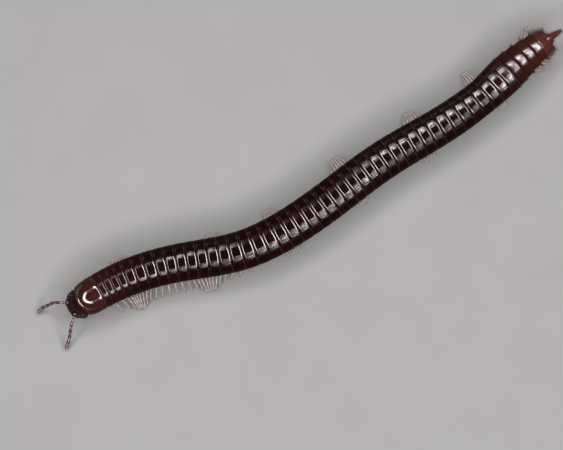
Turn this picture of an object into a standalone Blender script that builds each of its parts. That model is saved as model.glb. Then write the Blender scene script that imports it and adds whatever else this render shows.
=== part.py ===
"""A snake millipede at life size, walking: head, collar, ringed trunk, tail and some ninety stout legs."""

import math

import bmesh
import bpy
import numpy as np
from mathutils import Vector

for leftover in list(bpy.data.objects):
    bpy.data.objects.remove(leftover, do_unlink=True)

# Sizes are in millimetres and angles in degrees; make_object turns millimetres into metres.
MM = 0.001

# The body's middle line in plan. It starts at the face and runs to the tail, and its direction is
# given at distances along it, counted from +X towards +Y.
FACE_AT = (-19.25, -10.24)
DIRECTION = (
    (0.0, 32.3), (3.0, 29.6), (6.5, 19.1), (12.5, 9.6), (18.0, 27.9),
    (25.0, 37.8), (33.0, 30.3), (38.0, 37.6), (41.0, 44.2), (44.0, 40.7), (46.5, 34.0), (48.0, 31.0),
)
LINE_LENGTH = 49.0
LINE_STEP = 0.05

# Half the body's width at distances along the line, how high the belly hangs and how flat it is.
GIRTH = (
    (0.0, 1.42), (3.0, 1.50), (10.0, 1.59), (20.0, 1.65), (32.0, 1.60), (36.0, 1.545),
    (39.0, 1.50), (42.0, 1.59), (43.5, 1.43), (45.0, 1.22), (46.0, 1.01), (47.0, 0.56), (48.5, 0.50),
)
BELLY_HEIGHT = 0.55
BELLY_FLATNESS = 0.12
BODY_SIDES = 16

# The hind margin of each body ring, by ring number. Ring 1 is the collar.
HIND_MARGINS = (
    (1, 2.98), (3, 4.15), (5, 5.40), (8, 8.00), (14, 13.21), (20, 19.07), (26, 24.52),
    (32, 29.81), (38, 35.33), (44, 40.93), (47, 43.63), (49, 45.35),
)
LAST_RING = 49
TRUNK_LENGTHS = ((2, 9), (10, 16), (17, 23), (24, 30), (31, 38), (39, 44), (45, 49))

# One ring's profile, front to back: share of its length, share of the body's half width.
RING_PROFILE = ((0.00, 0.945), (0.12, 0.955), (0.21, 0.99), (0.97, 1.0))

# Each length ends in a socket that takes the plug on the front of the next.
SOCKET_WALL = 0.27
SOCKET_DEPTH = 0.60
PLUG_CLEARANCE = 0.25
PLUG_DEPTH = 0.35
SEAM = 0.20

# The collar, a smooth ring whose two side lobes end where its underside is drawn in. Its profile adds
# how far its top dips towards the head.
COLLAR_FRONT = 1.20
COLLAR_PROFILE = ((0.00, 0.93, 0.16), (0.12, 0.97, 0.12), (0.40, 1.0, 0.04), (0.97, 1.0, 0.0))
NECK_WALL = 0.45
LOBE_EDGE = 130
LOBE_STEP = 0.90

# One leg, root to foot: share of its reach, share of the belly's height, half thickness.
LEG_STATIONS = (
    (0.12, 1.60, 0.25), (0.32, 0.86, 0.23), (0.56, 1.25, 0.18), (0.82, 0.80, 0.14), (1.0, 0.0, 0.10),
)
LEG_SIDES = 5
LEG_SWEEP = 1.3
LEG_PLACE = 0.58
FULL_LEG_PITCH = 0.72
LAST_LEGGED_RING = 48

# How far the feet stand out from the body's middle, at the crests of the walking waves and between.
CREST_REACH_RIGHT = (
    (0.0, 1.9), (5.2, 2.2), (12.9, 2.25), (18.7, 2.5), (26.1, 2.8),
    (33.0, 2.65), (39.4, 2.7), (44.2, 2.0), (47.0, 1.7),
)
CREST_REACH_LEFT = (
    (0.0, 2.3), (5.7, 2.75), (12.2, 2.7), (19.0, 2.0), (25.8, 1.95),
    (32.7, 1.9), (40.0, 1.9), (42.5, 2.05), (43.5, 1.9), (44.4, 1.65), (47.0, 1.4),
)
LOW_REACH_RIGHT = ((0.0, 1.5), (5.0, 1.6), (13.0, 1.7), (40.0, 1.65), (44.0, 1.45), (47.0, 1.1))
LOW_REACH_LEFT = (
    (0.0, 2.1), (5.7, 2.4), (10.0, 2.35), (14.0, 2.1), (17.0, 1.4), (22.0, 1.3),
    (40.0, 1.25), (44.0, 1.05), (47.0, 0.8),
)

# The walking waves. At a crest the feet of one side gather, lift and reach out. Each pair is a crest's
# place along the body and its number.
CRESTS_RIGHT = (
    (-1.9, -1), (5.2, 0), (12.9, 1), (18.7, 2), (26.1, 3), (33.0, 4), (39.4, 5), (44.2, 6), (49.2, 7),
)
CRESTS_LEFT = (
    (-1.2, -1), (5.7, 0), (12.2, 1), (19.0, 2), (25.8, 3), (32.7, 4), (40.0, 5), (43.7, 6), (48.7, 7),
)
FOOT_SWING = 0.115
FOOT_LIFT = 0.30
CREST_FULL = 0.75

# The feet of the last legs trail behind, from one place along the body to another, by so much.
TRAIL_FROM, TRAIL_TO = 41.6, 44.0
TRAIL_BACK = 1.8

# A tucked leg keeps its knee low, under the belly.
TUCKED_REACH = 1.3
OPEN_REACH = 2.3
KNEE_DROP = 0.14

# The head, by distance behind the face: half width, top and underside.
HEAD_PLAN = ((0.0, 0.20), (0.08, 0.52), (0.22, 0.80), (0.45, 1.04), (0.75, 1.20), (1.05, 1.25))
HEAD_TOP = ((0.0, 1.46), (0.08, 1.70), (0.22, 1.95), (0.45, 2.22), (0.75, 2.50), (1.05, 2.72))
HEAD_UNDER = ((0.0, 1.02), (0.08, 0.80), (0.22, 0.62), (0.45, 0.55), (0.75, 0.52), (1.05, 0.55))
HEAD_SIDES = 20
HEAD_SQUARENESS = 2.3

# Forms on the head: middle as distance behind the face, out and height, then half sizes that way.
JAW_PLATES = (((0.52, 0.70, 0.90), (0.38, 0.28, 0.37)), ((0.88, 0.90, 1.06), (0.36, 0.34, 0.54)))
CHIN_PLATE = ((0.74, 0.0, 0.56), (0.44, 0.52, 0.13))
OVAL_ROWS, OVAL_SIDES, OVAL_END = 7, 12, 0.16
LIP_OUTLINE = ((0.50, 0.60), (0.50, 0.22), (0.35, 0.09), (0.11, 0.06))
LIP_NOTCH = (0.0, 0.18)
LIP_TOP, LIP_UNDER = 0.78, 0.50
FEELER_BOSS = ((0.50, 0.46, 1.70, 0.30), (0.16, 0.66, 1.77, 0.28))

# Eye patches: place on the head, the base and the beads as distances out and radii, the rows of beads
# and the room cut for them. The lowest row lies a little below the patch's middle.
EYE_ALONG, EYE_TURN = 0.62, 58
EYE_BASE = ((-0.10, 0.26), (-0.037, 0.26), (-0.01, 0.224))
EYE_BEAD = ((-0.03, 0.062), (0.015, 0.053), (0.04, 0.025))
EYE_ROWS = (4, 3, 2)
EYE_LOWEST_ROW = -0.10
EYE_BEAD_PITCH, EYE_ROW_PITCH = 0.127, 0.112
EYE_ROOM = ((-0.19, 0.35), (0.80, 0.42))
EYE_SIDES, EYE_BEAD_SIDES = 14, 6

# Feelers, root to tip: ahead of the face, out from the middle, height.
FEELER_RIGHT = (
    (-0.07, 0.71, 1.77), (0.28, 0.92, 1.62), (0.72, 1.22, 1.28),
    (1.24, 1.34, 0.86), (1.76, 1.45, 0.50), (2.40, 1.30, 0.27),
)
FEELER_LEFT = (
    (-0.07, 0.71, 1.77), (0.30, 1.00, 1.62), (0.71, 1.37, 1.28),
    (1.08, 1.76, 0.86), (1.48, 2.10, 0.50), (2.00, 2.50, 0.27),
)

# Each feeler joint starts at a share of the feeler's length and is widest at a share of its own.
FEELER_THICK = 0.25
FEELER_JOINTS = (0.0, 0.10, 0.32, 0.52, 0.70, 0.86, 0.97, 1.0)
FEELER_WAIST, FEELER_TIP = 0.80, 0.45
FEELER_WIDEST = 0.75
FEELER_SIDES = 8

# The tail: the ring before the vent, its pointed spur and the two valves that close the vent.
TAIL_PROFILE = ((0.00, 0.94), (0.45, 0.98), (0.78, 0.99), (0.93, 0.93), (1.00, 0.80))
TAIL_LENGTH = 1.10
SPUR = ((45.9, 0.50, 0.42), (46.5, 0.48, 0.33), (47.1, 0.42, 0.22), (47.75, 0.42, 0.06))
SPUR_SIDES = 8
VALVE_BULGE = ((0.00, 1.0), (0.12, 0.95), (0.24, 0.80), (0.33, 0.50), (0.37, 0.20))
VALVE_HALF_WIDTH, VALVE_HALF_HEIGHT = 0.25, 0.38
VALVE_DROP, VALVE_GAP = 0.28, 0.12
VALVE_SIDES = 12


def smooth(pairs, at):
    """Reads a smooth curve through pairs of place and value."""
    places, values = np.array(pairs, dtype=float).T
    slopes = np.gradient(values, places)
    span = np.clip(np.searchsorted(places, at) - 1, 0, len(places) - 2)
    width = places[span + 1] - places[span]
    t = np.clip((at - places[span]) / width, 0.0, 1.0)
    start = (2 * t**3 - 3 * t**2 + 1) * values[span] + (t**3 - 2 * t**2 + t) * width * slopes[span]
    end = (3 * t**2 - 2 * t**3) * values[span + 1] + (t**3 - t**2) * width * slopes[span + 1]
    return start + end


LINE_S = np.arange(0.0, LINE_LENGTH + LINE_STEP, LINE_STEP)
LINE_TURN = np.radians(smooth(DIRECTION, LINE_S[:-1] + LINE_STEP / 2))
LINE_X = FACE_AT[0] + np.concatenate([[0.0], np.cumsum(np.cos(LINE_TURN) * LINE_STEP)])
LINE_Y = FACE_AT[1] + np.concatenate([[0.0], np.cumsum(np.sin(LINE_TURN) * LINE_STEP)])


def place(along, out, height):
    """A point given by its distance along the body, out to the animal's right, and above the floor."""
    turn = math.radians(float(smooth(DIRECTION, along)))
    ahead = min(along, 0.0)
    x = float(np.interp(along, LINE_S, LINE_X)) + ahead * math.cos(turn) - out * math.sin(turn)
    y = float(np.interp(along, LINE_S, LINE_Y)) + ahead * math.sin(turn) + out * math.cos(turn)
    return Vector((x, y, height))


def girth(along):
    return float(smooth(GIRTH, along))


def axis_height(along):
    """The belly hangs at one height, so the middle of a thinner stretch lies lower."""
    return BELLY_HEIGHT + (1 - BELLY_FLATNESS) * girth(along)


def hind_margin(ring):
    return float(smooth(HIND_MARGINS, ring))


def body_loop(along, radius, underside=1.0):
    """A round section with a flattened belly, square to the body's line."""
    loop = []
    for side in range(BODY_SIDES):
        angle = 2 * math.pi * (side + 0.5) / BODY_SIDES
        below = (1 - math.cos(angle)) / 2
        beyond_lobe = math.cos(angle) < math.cos(math.radians(LOBE_EDGE))
        size = radius * (underside if beyond_lobe else 1.0)
        rise = size * (math.cos(angle) + BELLY_FLATNESS * below**3)
        loop.append(place(along, size * math.sin(angle), axis_height(along) + rise))
    return loop


def ring_about(middle, across, up, radius, sides):
    """A circle of points in the plane of two directions."""
    loop = []
    for n in range(sides):
        angle = 2 * math.pi * n / sides
        loop.append(middle + radius * (math.cos(angle) * across + math.sin(angle) * up))
    return loop


def loft(loops):
    """A closed skin through a run of loops, as points and faces."""
    count = len(loops[0])
    points = [point for loop in loops for point in loop]
    faces = []
    for row in range(len(loops) - 1):
        for k in range(count):
            a, b = row * count + k, row * count + (k + 1) % count
            faces.append((a, b, b + count, a + count))
    faces.append(tuple(reversed(range(count))))
    faces.append(tuple(range(len(points) - count, len(points))))
    return points, faces


def make_object(name, loops):
    """One closed object through a run of loops, with its faces turned outwards."""
    points, faces = loft(loops)
    mesh = bpy.data.meshes.new(name)
    mesh.from_pydata([point * MM for point in points], [], faces)
    shape = bmesh.new()
    shape.from_mesh(mesh)
    bmesh.ops.recalc_face_normals(shape, faces=shape.faces)
    shape.to_mesh(mesh)
    shape.free()
    piece = bpy.data.objects.new(name, mesh)
    bpy.context.scene.collection.objects.link(piece)
    return piece


def keep_largest(mesh):
    """Drops every closed surface of a mesh but the one with the most area."""
    shape = bmesh.new()
    shape.from_mesh(mesh)
    unseen = set(shape.verts)
    surfaces = []
    while unseen:
        surface = {unseen.pop()}
        waiting = list(surface)
        while waiting:
            vert = waiting.pop()
            for edge in vert.link_edges:
                other = edge.other_vert(vert)
                if other in unseen:
                    unseen.discard(other)
                    surface.add(other)
                    waiting.append(other)
        faces = {face for vert in surface for face in vert.link_faces}
        surfaces.append((sum(face.calc_area() for face in faces), surface))
    surfaces.sort(key=lambda found: found[0])
    loose = [vert for _, surface in surfaces[:-1] for vert in surface]
    bmesh.ops.delete(shape, geom=loose, context="VERTS")
    shape.to_mesh(mesh)
    shape.free()


def apply_modifiers(body):
    bpy.context.view_layer.update()
    seen = body.evaluated_get(bpy.context.evaluated_depsgraph_get())
    result = bpy.data.meshes.new_from_object(seen)
    body.modifiers.clear()
    body.data = result
    keep_largest(body.data)


def fuse(body, pieces, solver="EXACT"):
    """Joins closed pieces to a body in one union and removes the pieces."""
    group = bpy.data.collections.new(body.name + "_pieces")
    for piece in pieces:
        group.objects.link(piece)
    union = body.modifiers.new("Union", "BOOLEAN")
    union.operation = "UNION"
    union.operand_type = "COLLECTION"
    union.collection = group
    union.solver = solver
    apply_modifiers(body)
    for piece in pieces:
        bpy.data.objects.remove(piece, do_unlink=True)
    bpy.data.collections.remove(group)


def cut(body, cutter):
    """Takes a closed cutter out of a body and removes the cutter."""
    taken = body.modifiers.new("Cut", "BOOLEAN")
    taken.operation = "DIFFERENCE"
    taken.object = cutter
    taken.solver = "MANIFOLD"
    apply_modifiers(body)
    bpy.data.objects.remove(cutter, do_unlink=True)


def make_material(name, colour, roughness):
    material = bpy.data.materials.new(name)
    material.use_nodes = True
    shader = material.node_tree.nodes["Principled BSDF"]
    shader.inputs["Base Color"].default_value = (*colour, 1.0)
    shader.inputs["Roughness"].default_value = roughness
    shader.inputs["Metallic"].default_value = 0.0
    return material


def finish(piece, material):
    """Gives a piece its material and smooth shading, with its hard edges kept."""
    piece.data.materials.clear()
    piece.data.materials.append(material)
    piece.data.shade_smooth()
    piece.data.set_sharp_from_angle(angle=math.radians(35))


TRUNK_SHELL = make_material("trunk_shell", (0.030, 0.017, 0.016), 0.22)
HEAD_SHELL = make_material("head_shell", (0.045, 0.022, 0.018), 0.25)
TAIL_SHELL = make_material("tail_shell", (0.11, 0.055, 0.045), 0.35)
FEELER_SKIN = make_material("feeler_skin", (0.10, 0.055, 0.055), 0.45)
EYE_BLACK = make_material("eye_black", (0.006, 0.006, 0.008), 0.12)


def socket_radius(along):
    return girth(along) - SOCKET_WALL


def plug_loops(seam):
    """The front of a length: the plug and the shoulder behind it."""
    radius = socket_radius(seam) - PLUG_CLEARANCE
    return [body_loop(seam - PLUG_DEPTH, radius), body_loop(seam + SEAM, radius)]


def socket_loops(seam, underside=1.0):
    """The rear of a length: the rim and the socket cut into it."""
    return [
        body_loop(seam, girth(seam), underside),
        body_loop(seam, socket_radius(seam), underside),
        body_loop(seam - SOCKET_DEPTH, socket_radius(seam), underside),
    ]


def ring_loops(ring, first):
    """The outside of one ring: its narrow front band, the step and the wider band behind."""
    start, end = hind_margin(ring - 1), hind_margin(ring)
    loops = []
    for share, width in RING_PROFILE:
        along = start + share * (end - start)
        if share == 0.0 and first:
            along = start + SEAM
        loops.append(body_loop(along, width * girth(along)))
    return loops


def wave(root, crests):
    """How far a leg is through its step, as an angle from the crest, and the wave's length here."""
    step = 0.1
    number = float(smooth(crests, root))
    rate = (float(smooth(crests, root + step)) - float(smooth(crests, root - step))) / (2 * step)
    return 2 * math.pi * number, 1 / rate


def ease(share):
    """Turns a share from 0 to 1 into one that starts and ends smoothly."""
    share = min(1.0, max(0.0, share))
    return share * share * (3 - 2 * share)


def leg_reach(root, crest, crest_reaches, low_reaches):
    """How far a foot stands out, from its least between crests to its most at a crest."""
    low = float(smooth(low_reaches, root))
    return low + (float(smooth(crest_reaches, root)) - low) * ease(crest / CREST_FULL)


def make_leg(name, root, side, reaches, crests, stoutness):
    """One leg: out from beside the belly's middle line, over its knee and down to a flat foot."""
    phase, wave_length = wave(root, crests)
    swing = -FOOT_SWING * wave_length * math.sin(phase)
    swing += TRAIL_BACK * ease((root - TRAIL_FROM) / (TRAIL_TO - TRAIL_FROM))
    crest = max(0.0, math.cos(phase))
    reach = leg_reach(root, crest, *reaches)
    tucked = min(1.0, max(0.0, (OPEN_REACH - reach) / (OPEN_REACH - TUCKED_REACH)))
    centres = []
    for share, rise, _ in LEG_STATIONS:
        height = BELLY_HEIGHT * rise + FOOT_LIFT * crest * share
        height -= KNEE_DROP * tucked * math.sin(math.pi * share)
        centres.append(place(root + swing * share**LEG_SWEEP, side * reach * share, height))
    fore = (place(root + 1, 0, 0) - place(root, 0, 0)).normalized()
    last = len(centres) - 1
    loops = []
    for k, centre in enumerate(centres):
        run = (centres[min(k + 1, last)] - centres[max(k - 1, 0)]).normalized()
        if k == last:
            run = Vector((0, 0, -1))
        across = (fore - fore.dot(run) * run).normalized()
        loops.append(ring_about(centre, across, across.cross(run), LEG_STATIONS[k][2] * stoutness, LEG_SIDES))
    return make_object(name, loops)


def legs_of(ring):
    """The stout legs of one ring, a right and a left one, slimmer where the rings are short."""
    start, end = hind_margin(ring - 1), hind_margin(ring)
    root = start + LEG_PLACE * (end - start)
    stoutness = min(1.0, (end - start) / FULL_LEG_PITCH)
    return [
        make_leg(f"leg_{ring}_right", root, 1, (CREST_REACH_RIGHT, LOW_REACH_RIGHT), CRESTS_RIGHT, stoutness),
        make_leg(f"leg_{ring}_left", root, -1, (CREST_REACH_LEFT, LOW_REACH_LEFT), CRESTS_LEFT, stoutness),
    ]


def make_trunk_length(number, first, last):
    loops = plug_loops(hind_margin(first - 1))
    for ring in range(first, last + 1):
        loops += ring_loops(ring, ring == first)
    loops += socket_loops(hind_margin(last))
    body = make_object(f"trunk_{number}", loops)
    legs = []
    for ring in range(first, min(last, LAST_LEGGED_RING) + 1):
        legs += legs_of(ring)
    fuse(body, legs)
    finish(body, TRUNK_SHELL)


def make_collar():
    start, end = COLLAR_FRONT, hind_margin(1)
    neck = girth(start) - NECK_WALL
    loops = [body_loop(start + SOCKET_DEPTH, neck, LOBE_STEP), body_loop(start, neck, LOBE_STEP)]
    for share, width, dip in COLLAR_PROFILE:
        along = start + share * (end - start)
        loop = body_loop(along, width * girth(along), LOBE_STEP)
        for point in loop:
            point.z -= dip * max(0.0, (point.z - axis_height(along)) / girth(along))
        loops.append(loop)
    loops += socket_loops(end, LOBE_STEP)
    finish(make_object("collum", loops), HEAD_SHELL)


def head_point(along, angle, side=1):
    """A point of the head's skin, by distance behind the face and angle down from the top."""
    half_width, top, under = (float(smooth(pairs, along)) for pairs in (HEAD_PLAN, HEAD_TOP, HEAD_UNDER))
    c, s = math.cos(angle), math.sin(angle)
    size = (abs(c) ** HEAD_SQUARENESS + abs(s) ** HEAD_SQUARENESS) ** (-1 / HEAD_SQUARENESS)
    return place(along, side * half_width * s * size, (top + under) / 2 + (top - under) / 2 * c * size)


def eye_place(side):
    """Where an eye patch sits: a point on the head, the way straight out, and the way back."""
    angle, step = math.radians(EYE_TURN), 0.02
    point = head_point(EYE_ALONG, angle, side)
    back = head_point(EYE_ALONG + step, angle, side) - head_point(EYE_ALONG - step, angle, side)
    down = head_point(EYE_ALONG, angle + step, side) - head_point(EYE_ALONG, angle - step, side)
    outward = back.cross(down).normalized() * side
    return point, outward, back.normalized()


def turned(name, middle, axis, across, stations, sides):
    """A closed turned shape: stations of distance along the axis and radius."""
    across = (across - across.dot(axis) * axis).normalized()
    up = across.cross(axis)
    loops = [ring_about(middle + rise * axis, across, up, radius, sides) for rise, radius in stations]
    return make_object(name, loops)


def oval(name, middle, sizes):
    """A closed egg shape on the body's line, cut small and flat at its two ends."""
    loops = []
    for row in range(OVAL_ROWS):
        angle = OVAL_END + (math.pi - 2 * OVAL_END) * row / (OVAL_ROWS - 1)
        loop = []
        for n in range(OVAL_SIDES):
            turn = 2 * math.pi * n / OVAL_SIDES
            out = middle[1] + sizes[1] * math.sin(angle) * math.sin(turn)
            height = middle[2] + sizes[2] * math.sin(angle) * math.cos(turn)
            loop.append(place(middle[0] - sizes[0] * math.cos(angle), out, height))
        loops.append(loop)
    return make_object(name, loops)


def make_lip():
    """The upper lip, a plate with a notch in the middle of its front edge."""
    outline = [(-out, along) for out, along in LIP_OUTLINE]
    outline += [LIP_NOTCH]
    outline += [(out, along) for out, along in reversed(LIP_OUTLINE)]
    loops = [[place(along, out, height) for out, along in outline] for height in (LIP_UNDER, LIP_TOP)]
    return make_object("lip", loops)


def make_feeler_boss(side):
    (along, out, height, root_radius), (end_along, end_out, end_height, end_radius) = FEELER_BOSS
    start = place(along, side * out, height)
    end = place(end_along, side * end_out, end_height)
    stations = ((0.0, root_radius), ((end - start).length, end_radius))
    return turned(f"boss_{side}", start, (end - start).normalized(), Vector((0, 0, 1)), stations, 12)


def make_head():
    """The domed head with its lip, chin, jaw plates, feeler sockets, eye recesses and neck plug."""
    loops = []
    for along, _ in HEAD_PLAN:
        loops.append([head_point(along, 2 * math.pi * (n + 0.5) / HEAD_SIDES) for n in range(HEAD_SIDES)])
    neck = girth(COLLAR_FRONT) - NECK_WALL - PLUG_CLEARANCE
    middle = axis_height(COLLAR_FRONT)
    fore, aft = HEAD_PLAN[-1][0], COLLAR_FRONT + PLUG_DEPTH
    for along in (fore, aft):
        centre = place(along, 0, middle)
        out = (place(along, 1, middle) - centre).normalized()
        loop = ring_about(centre, Vector((0, 0, 1)), out, neck, HEAD_SIDES)
        loops.append(loop)
    head = make_object("head", loops)
    forms = [make_lip(), oval("chin", *CHIN_PLATE)]
    for side in (1, -1):
        for number, ((along, out, height), sizes) in enumerate(JAW_PLATES):
            forms.append(oval(f"jaw_{number}_{side}", (along, side * out, height), sizes))
        forms.append(make_feeler_boss(side))
    fuse(head, forms, "MANIFOLD")
    for side in (1, -1):
        cut(head, turned("eye_room", *eye_place(side), EYE_ROOM, EYE_SIDES))
    finish(head, HEAD_SHELL)


def make_eye(name, side):
    """A patch of black beads in rows on a low base, set in its recess."""
    point, outward, back = eye_place(side)
    base = turned(name, point, outward, back, EYE_BASE, EYE_SIDES)
    upward = side * back.cross(outward)
    beads = []
    for row, count in enumerate(EYE_ROWS):
        low_end = point + (EYE_LOWEST_ROW + row * EYE_ROW_PITCH) * upward
        for n in range(count):
            middle = low_end + (n - (count - 1) / 2) * EYE_BEAD_PITCH * back
            beads.append(turned(f"bead_{row}_{n}", middle, outward, back, EYE_BEAD, EYE_BEAD_SIDES))
    fuse(base, beads)
    finish(base, EYE_BLACK)


def make_feeler(name, side, stations):
    """A feeler of joints that widen towards their far ends, bent down towards the ground."""
    route = np.array([place(-ahead, side * out, height) for ahead, out, height in stations])
    run = np.concatenate([[0.0], np.cumsum(np.linalg.norm(np.diff(route, axis=0), axis=1))])
    run /= run[-1]

    def at(share):
        return Vector([float(smooth(list(zip(run, route[:, axis])), share)) for axis in range(3)])

    shares = []
    for start, end in zip(FEELER_JOINTS, FEELER_JOINTS[1:]):
        shares += [(start, FEELER_WAIST), (start + FEELER_WIDEST * (end - start), 1.0)]
    shares += [(1.0, FEELER_TIP)]
    loops = []
    step = 0.02
    for share, width in shares:
        ahead = (at(min(share + step, 1.0)) - at(max(share - step, 0.0))).normalized()
        across = ahead.cross(Vector((0, 0, 1))).normalized()
        loops.append(ring_about(at(share), across, across.cross(ahead), FEELER_THICK * width, FEELER_SIDES))
    finish(make_object(name, loops), FEELER_SKIN)


def make_tail():
    """The last ring, plugged into the trunk, with its spur drawn out over the vent."""
    seam = hind_margin(LAST_RING)
    loops = plug_loops(seam)
    for share, width in TAIL_PROFILE:
        along = seam + SEAM + share * (TAIL_LENGTH - SEAM)
        loops.append(body_loop(along, width * girth(along)))
    body = make_object("telson", loops)
    spur_loops = []
    middle = axis_height(SPUR[0][0])
    for along, rise, thick in SPUR:
        centre = place(along, 0, middle + rise)
        out = (place(along, 1, middle + rise) - centre).normalized()
        spur_loops.append(ring_about(centre, Vector((0, 0, 1)), out, thick, SPUR_SIDES))
    fuse(body, [make_object("spur", spur_loops)])
    finish(body, TAIL_SHELL)


def make_valve(name, side):
    """One of the two rounded valves behind the tail ring."""
    start = hind_margin(LAST_RING) + TAIL_LENGTH + VALVE_GAP
    middle = axis_height(start) - VALVE_DROP
    loops = []
    for back, share in VALVE_BULGE:
        loop = []
        for n in range(VALVE_SIDES):
            angle = 2 * math.pi * n / VALVE_SIDES
            out = VALVE_GAP / 2 + VALVE_HALF_WIDTH * (1 + share * math.sin(angle))
            loop.append(place(start + back, side * out, middle + share * VALVE_HALF_HEIGHT * math.cos(angle)))
        loops.append(loop)
    finish(make_object(name, loops), TAIL_SHELL)


make_head()
make_eye("eye_right", 1)
make_eye("eye_left", -1)
make_feeler("antenna_right", 1, FEELER_RIGHT)
make_feeler("antenna_left", -1, FEELER_LEFT)
make_collar()
for number, (first, last) in enumerate(TRUNK_LENGTHS, start=1):
    make_trunk_length(number, first, last)
make_tail()
make_valve("anal_valve_right", 1)
make_valve("anal_valve_left", -1)
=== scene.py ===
"""The looks of a snake millipede, walking: its shell rings, legs, head, tail and hairs."""

import math

import bmesh
import bpy
import numpy as np
from mathutils import Matrix, Vector


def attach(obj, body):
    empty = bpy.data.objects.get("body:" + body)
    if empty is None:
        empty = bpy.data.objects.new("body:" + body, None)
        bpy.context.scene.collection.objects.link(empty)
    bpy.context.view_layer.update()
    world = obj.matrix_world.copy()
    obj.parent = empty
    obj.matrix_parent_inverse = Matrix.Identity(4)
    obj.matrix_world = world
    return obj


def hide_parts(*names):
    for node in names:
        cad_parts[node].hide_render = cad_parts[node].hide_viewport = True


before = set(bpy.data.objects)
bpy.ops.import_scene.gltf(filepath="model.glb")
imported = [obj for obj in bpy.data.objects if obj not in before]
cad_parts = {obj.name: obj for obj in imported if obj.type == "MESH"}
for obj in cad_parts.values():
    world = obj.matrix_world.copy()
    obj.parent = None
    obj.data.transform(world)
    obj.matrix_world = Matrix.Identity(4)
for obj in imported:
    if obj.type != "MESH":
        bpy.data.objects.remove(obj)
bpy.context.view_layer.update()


# Trunk rings
# The trunk is a tube of hard hoops of chitin, each slid a little way into the one in front. A hoop
# has a narrow dull band in front, a fine groove, and a wide glossy band, finely furrowed lengthwise,
# that rounds down to a thin red-brown hind edge. The rings are grouped in the seven trunk lengths.

# Sizes are in millimetres and angles in degrees, and pieces are made in metres.
MM = 0.001

# The body's middle line in plan, from the face to the tail, as its direction at distances along it.
FACE_AT = (-19.25, -10.24)
DIRECTION = (
    (0.0, 32.3), (3.0, 29.6), (6.5, 19.1), (12.5, 9.6), (18.0, 27.9),
    (25.0, 37.8), (33.0, 30.3), (38.0, 37.6), (41.0, 44.2), (44.0, 40.7), (46.5, 34.0), (48.0, 31.0),
)
LINE_LENGTH = 49.0
LINE_STEP = 0.05

GIRTH = (
    (0.0, 1.42), (3.0, 1.50), (10.0, 1.59), (20.0, 1.65), (32.0, 1.60), (36.0, 1.545),
    (39.0, 1.50), (42.0, 1.59), (43.5, 1.43), (45.0, 1.22), (46.0, 1.01), (47.0, 0.56), (48.5, 0.50),
)
BELLY_HEIGHT = 0.55
BELLY_FLATNESS = 0.12

HIND_MARGINS = (
    (1, 2.98), (3, 4.15), (5, 5.40), (8, 8.00), (14, 13.21), (20, 19.07), (26, 24.52),
    (32, 29.81), (38, 35.33), (44, 40.93), (47, 43.63), (49, 45.35),
)
LAST_RING = 49
TRUNK_LENGTHS = ((2, 9), (10, 16), (17, 23), (24, 30), (31, 38), (39, 44), (45, 49))

# One ring front to back: share of its length, fall of the surface as a share of the body's half
# width, and share of the furrows' depth. The fall is less on the flanks.
RING_ROWS = (
    (0.00, 0.048, 0.0), (0.03, 0.046, 0.0), (0.095, 0.046, 0.0), (0.107, 0.056, 0.0),
    (0.12, 0.047, 0.0), (0.133, 0.0330, 0.0), (0.147, 0.0215, 0.1), (0.163, 0.0160, 0.3),
    (0.179, 0.0112, 0.5), (0.195, 0.0072, 0.7), (0.213, 0.0036, 0.9), (0.25, 0.0005, 1.0),
    (0.40, 0.0, 1.0), (0.60, 0.0, 1.0), (0.80, 0.0, 1.0), (0.862, 0.0002, 1.0),
    (0.893, 0.0024, 0.9), (0.914, 0.0060, 0.7), (0.933, 0.0098, 0.5), (0.952, 0.0142, 0.3),
    (0.972, 0.0198, 0.1), (0.995, 0.034, 0.0),
)
FLANK_FALL = (35, 80, 0.25)

# The last rings taper less than the body does, each a nearly level tube, from one ring to another.
LEVEL_RINGS = (44, 46)
LEVEL_TAPER = 0.3

# The furrows: how many go round, each one's depth across it, and where they are shallower.
FURROWS = 80
FURROW_COLUMNS = (0.0, 0.25, 1.0, 0.25)
FURROW_DEPTH = 0.014
FURROW_UNEVEN = (0.6, 1.3)
FURROW_FADE_TOP = (8, 45, 0.45)
FURROW_GROWTH = ((1, 0.25), (8, 0.35), (14, 0.8), (19, 1.1), (30, 1.0), (49, 1.0))
FURROW_FADE_BELLY = (140, 160)

# Hidden ends of a trunk length, inside its neighbours: place from its edge, and share of the width.
HIDDEN_FRONT = ((-0.35, 0.88), (-0.06, 0.925))
HIDDEN_BACK = (-0.01, 0.915)


def smooth(pairs, at):
    """Reads a smooth curve through pairs of place and value."""
    places, values = np.array(pairs, dtype=float).T
    slopes = np.gradient(values, places)
    span = np.clip(np.searchsorted(places, at) - 1, 0, len(places) - 2)
    width = places[span + 1] - places[span]
    t = np.clip((at - places[span]) / width, 0.0, 1.0)
    start = (2 * t**3 - 3 * t**2 + 1) * values[span] + (t**3 - 2 * t**2 + t) * width * slopes[span]
    end = (3 * t**2 - 2 * t**3) * values[span + 1] + (t**3 - t**2) * width * slopes[span + 1]
    return start + end


def ease(at, low, high):
    """Rises smoothly from 0 to 1 between two places."""
    t = np.clip((at - low) / (high - low), 0.0, 1.0)
    return t * t * (3 - 2 * t)


LINE_S = np.arange(0.0, LINE_LENGTH + LINE_STEP, LINE_STEP)
LINE_TURN = np.radians(smooth(DIRECTION, LINE_S[:-1] + LINE_STEP / 2))
LINE_X = FACE_AT[0] + np.concatenate([[0.0], np.cumsum(np.cos(LINE_TURN) * LINE_STEP)])
LINE_Y = FACE_AT[1] + np.concatenate([[0.0], np.cumsum(np.sin(LINE_TURN) * LINE_STEP)])


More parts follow.
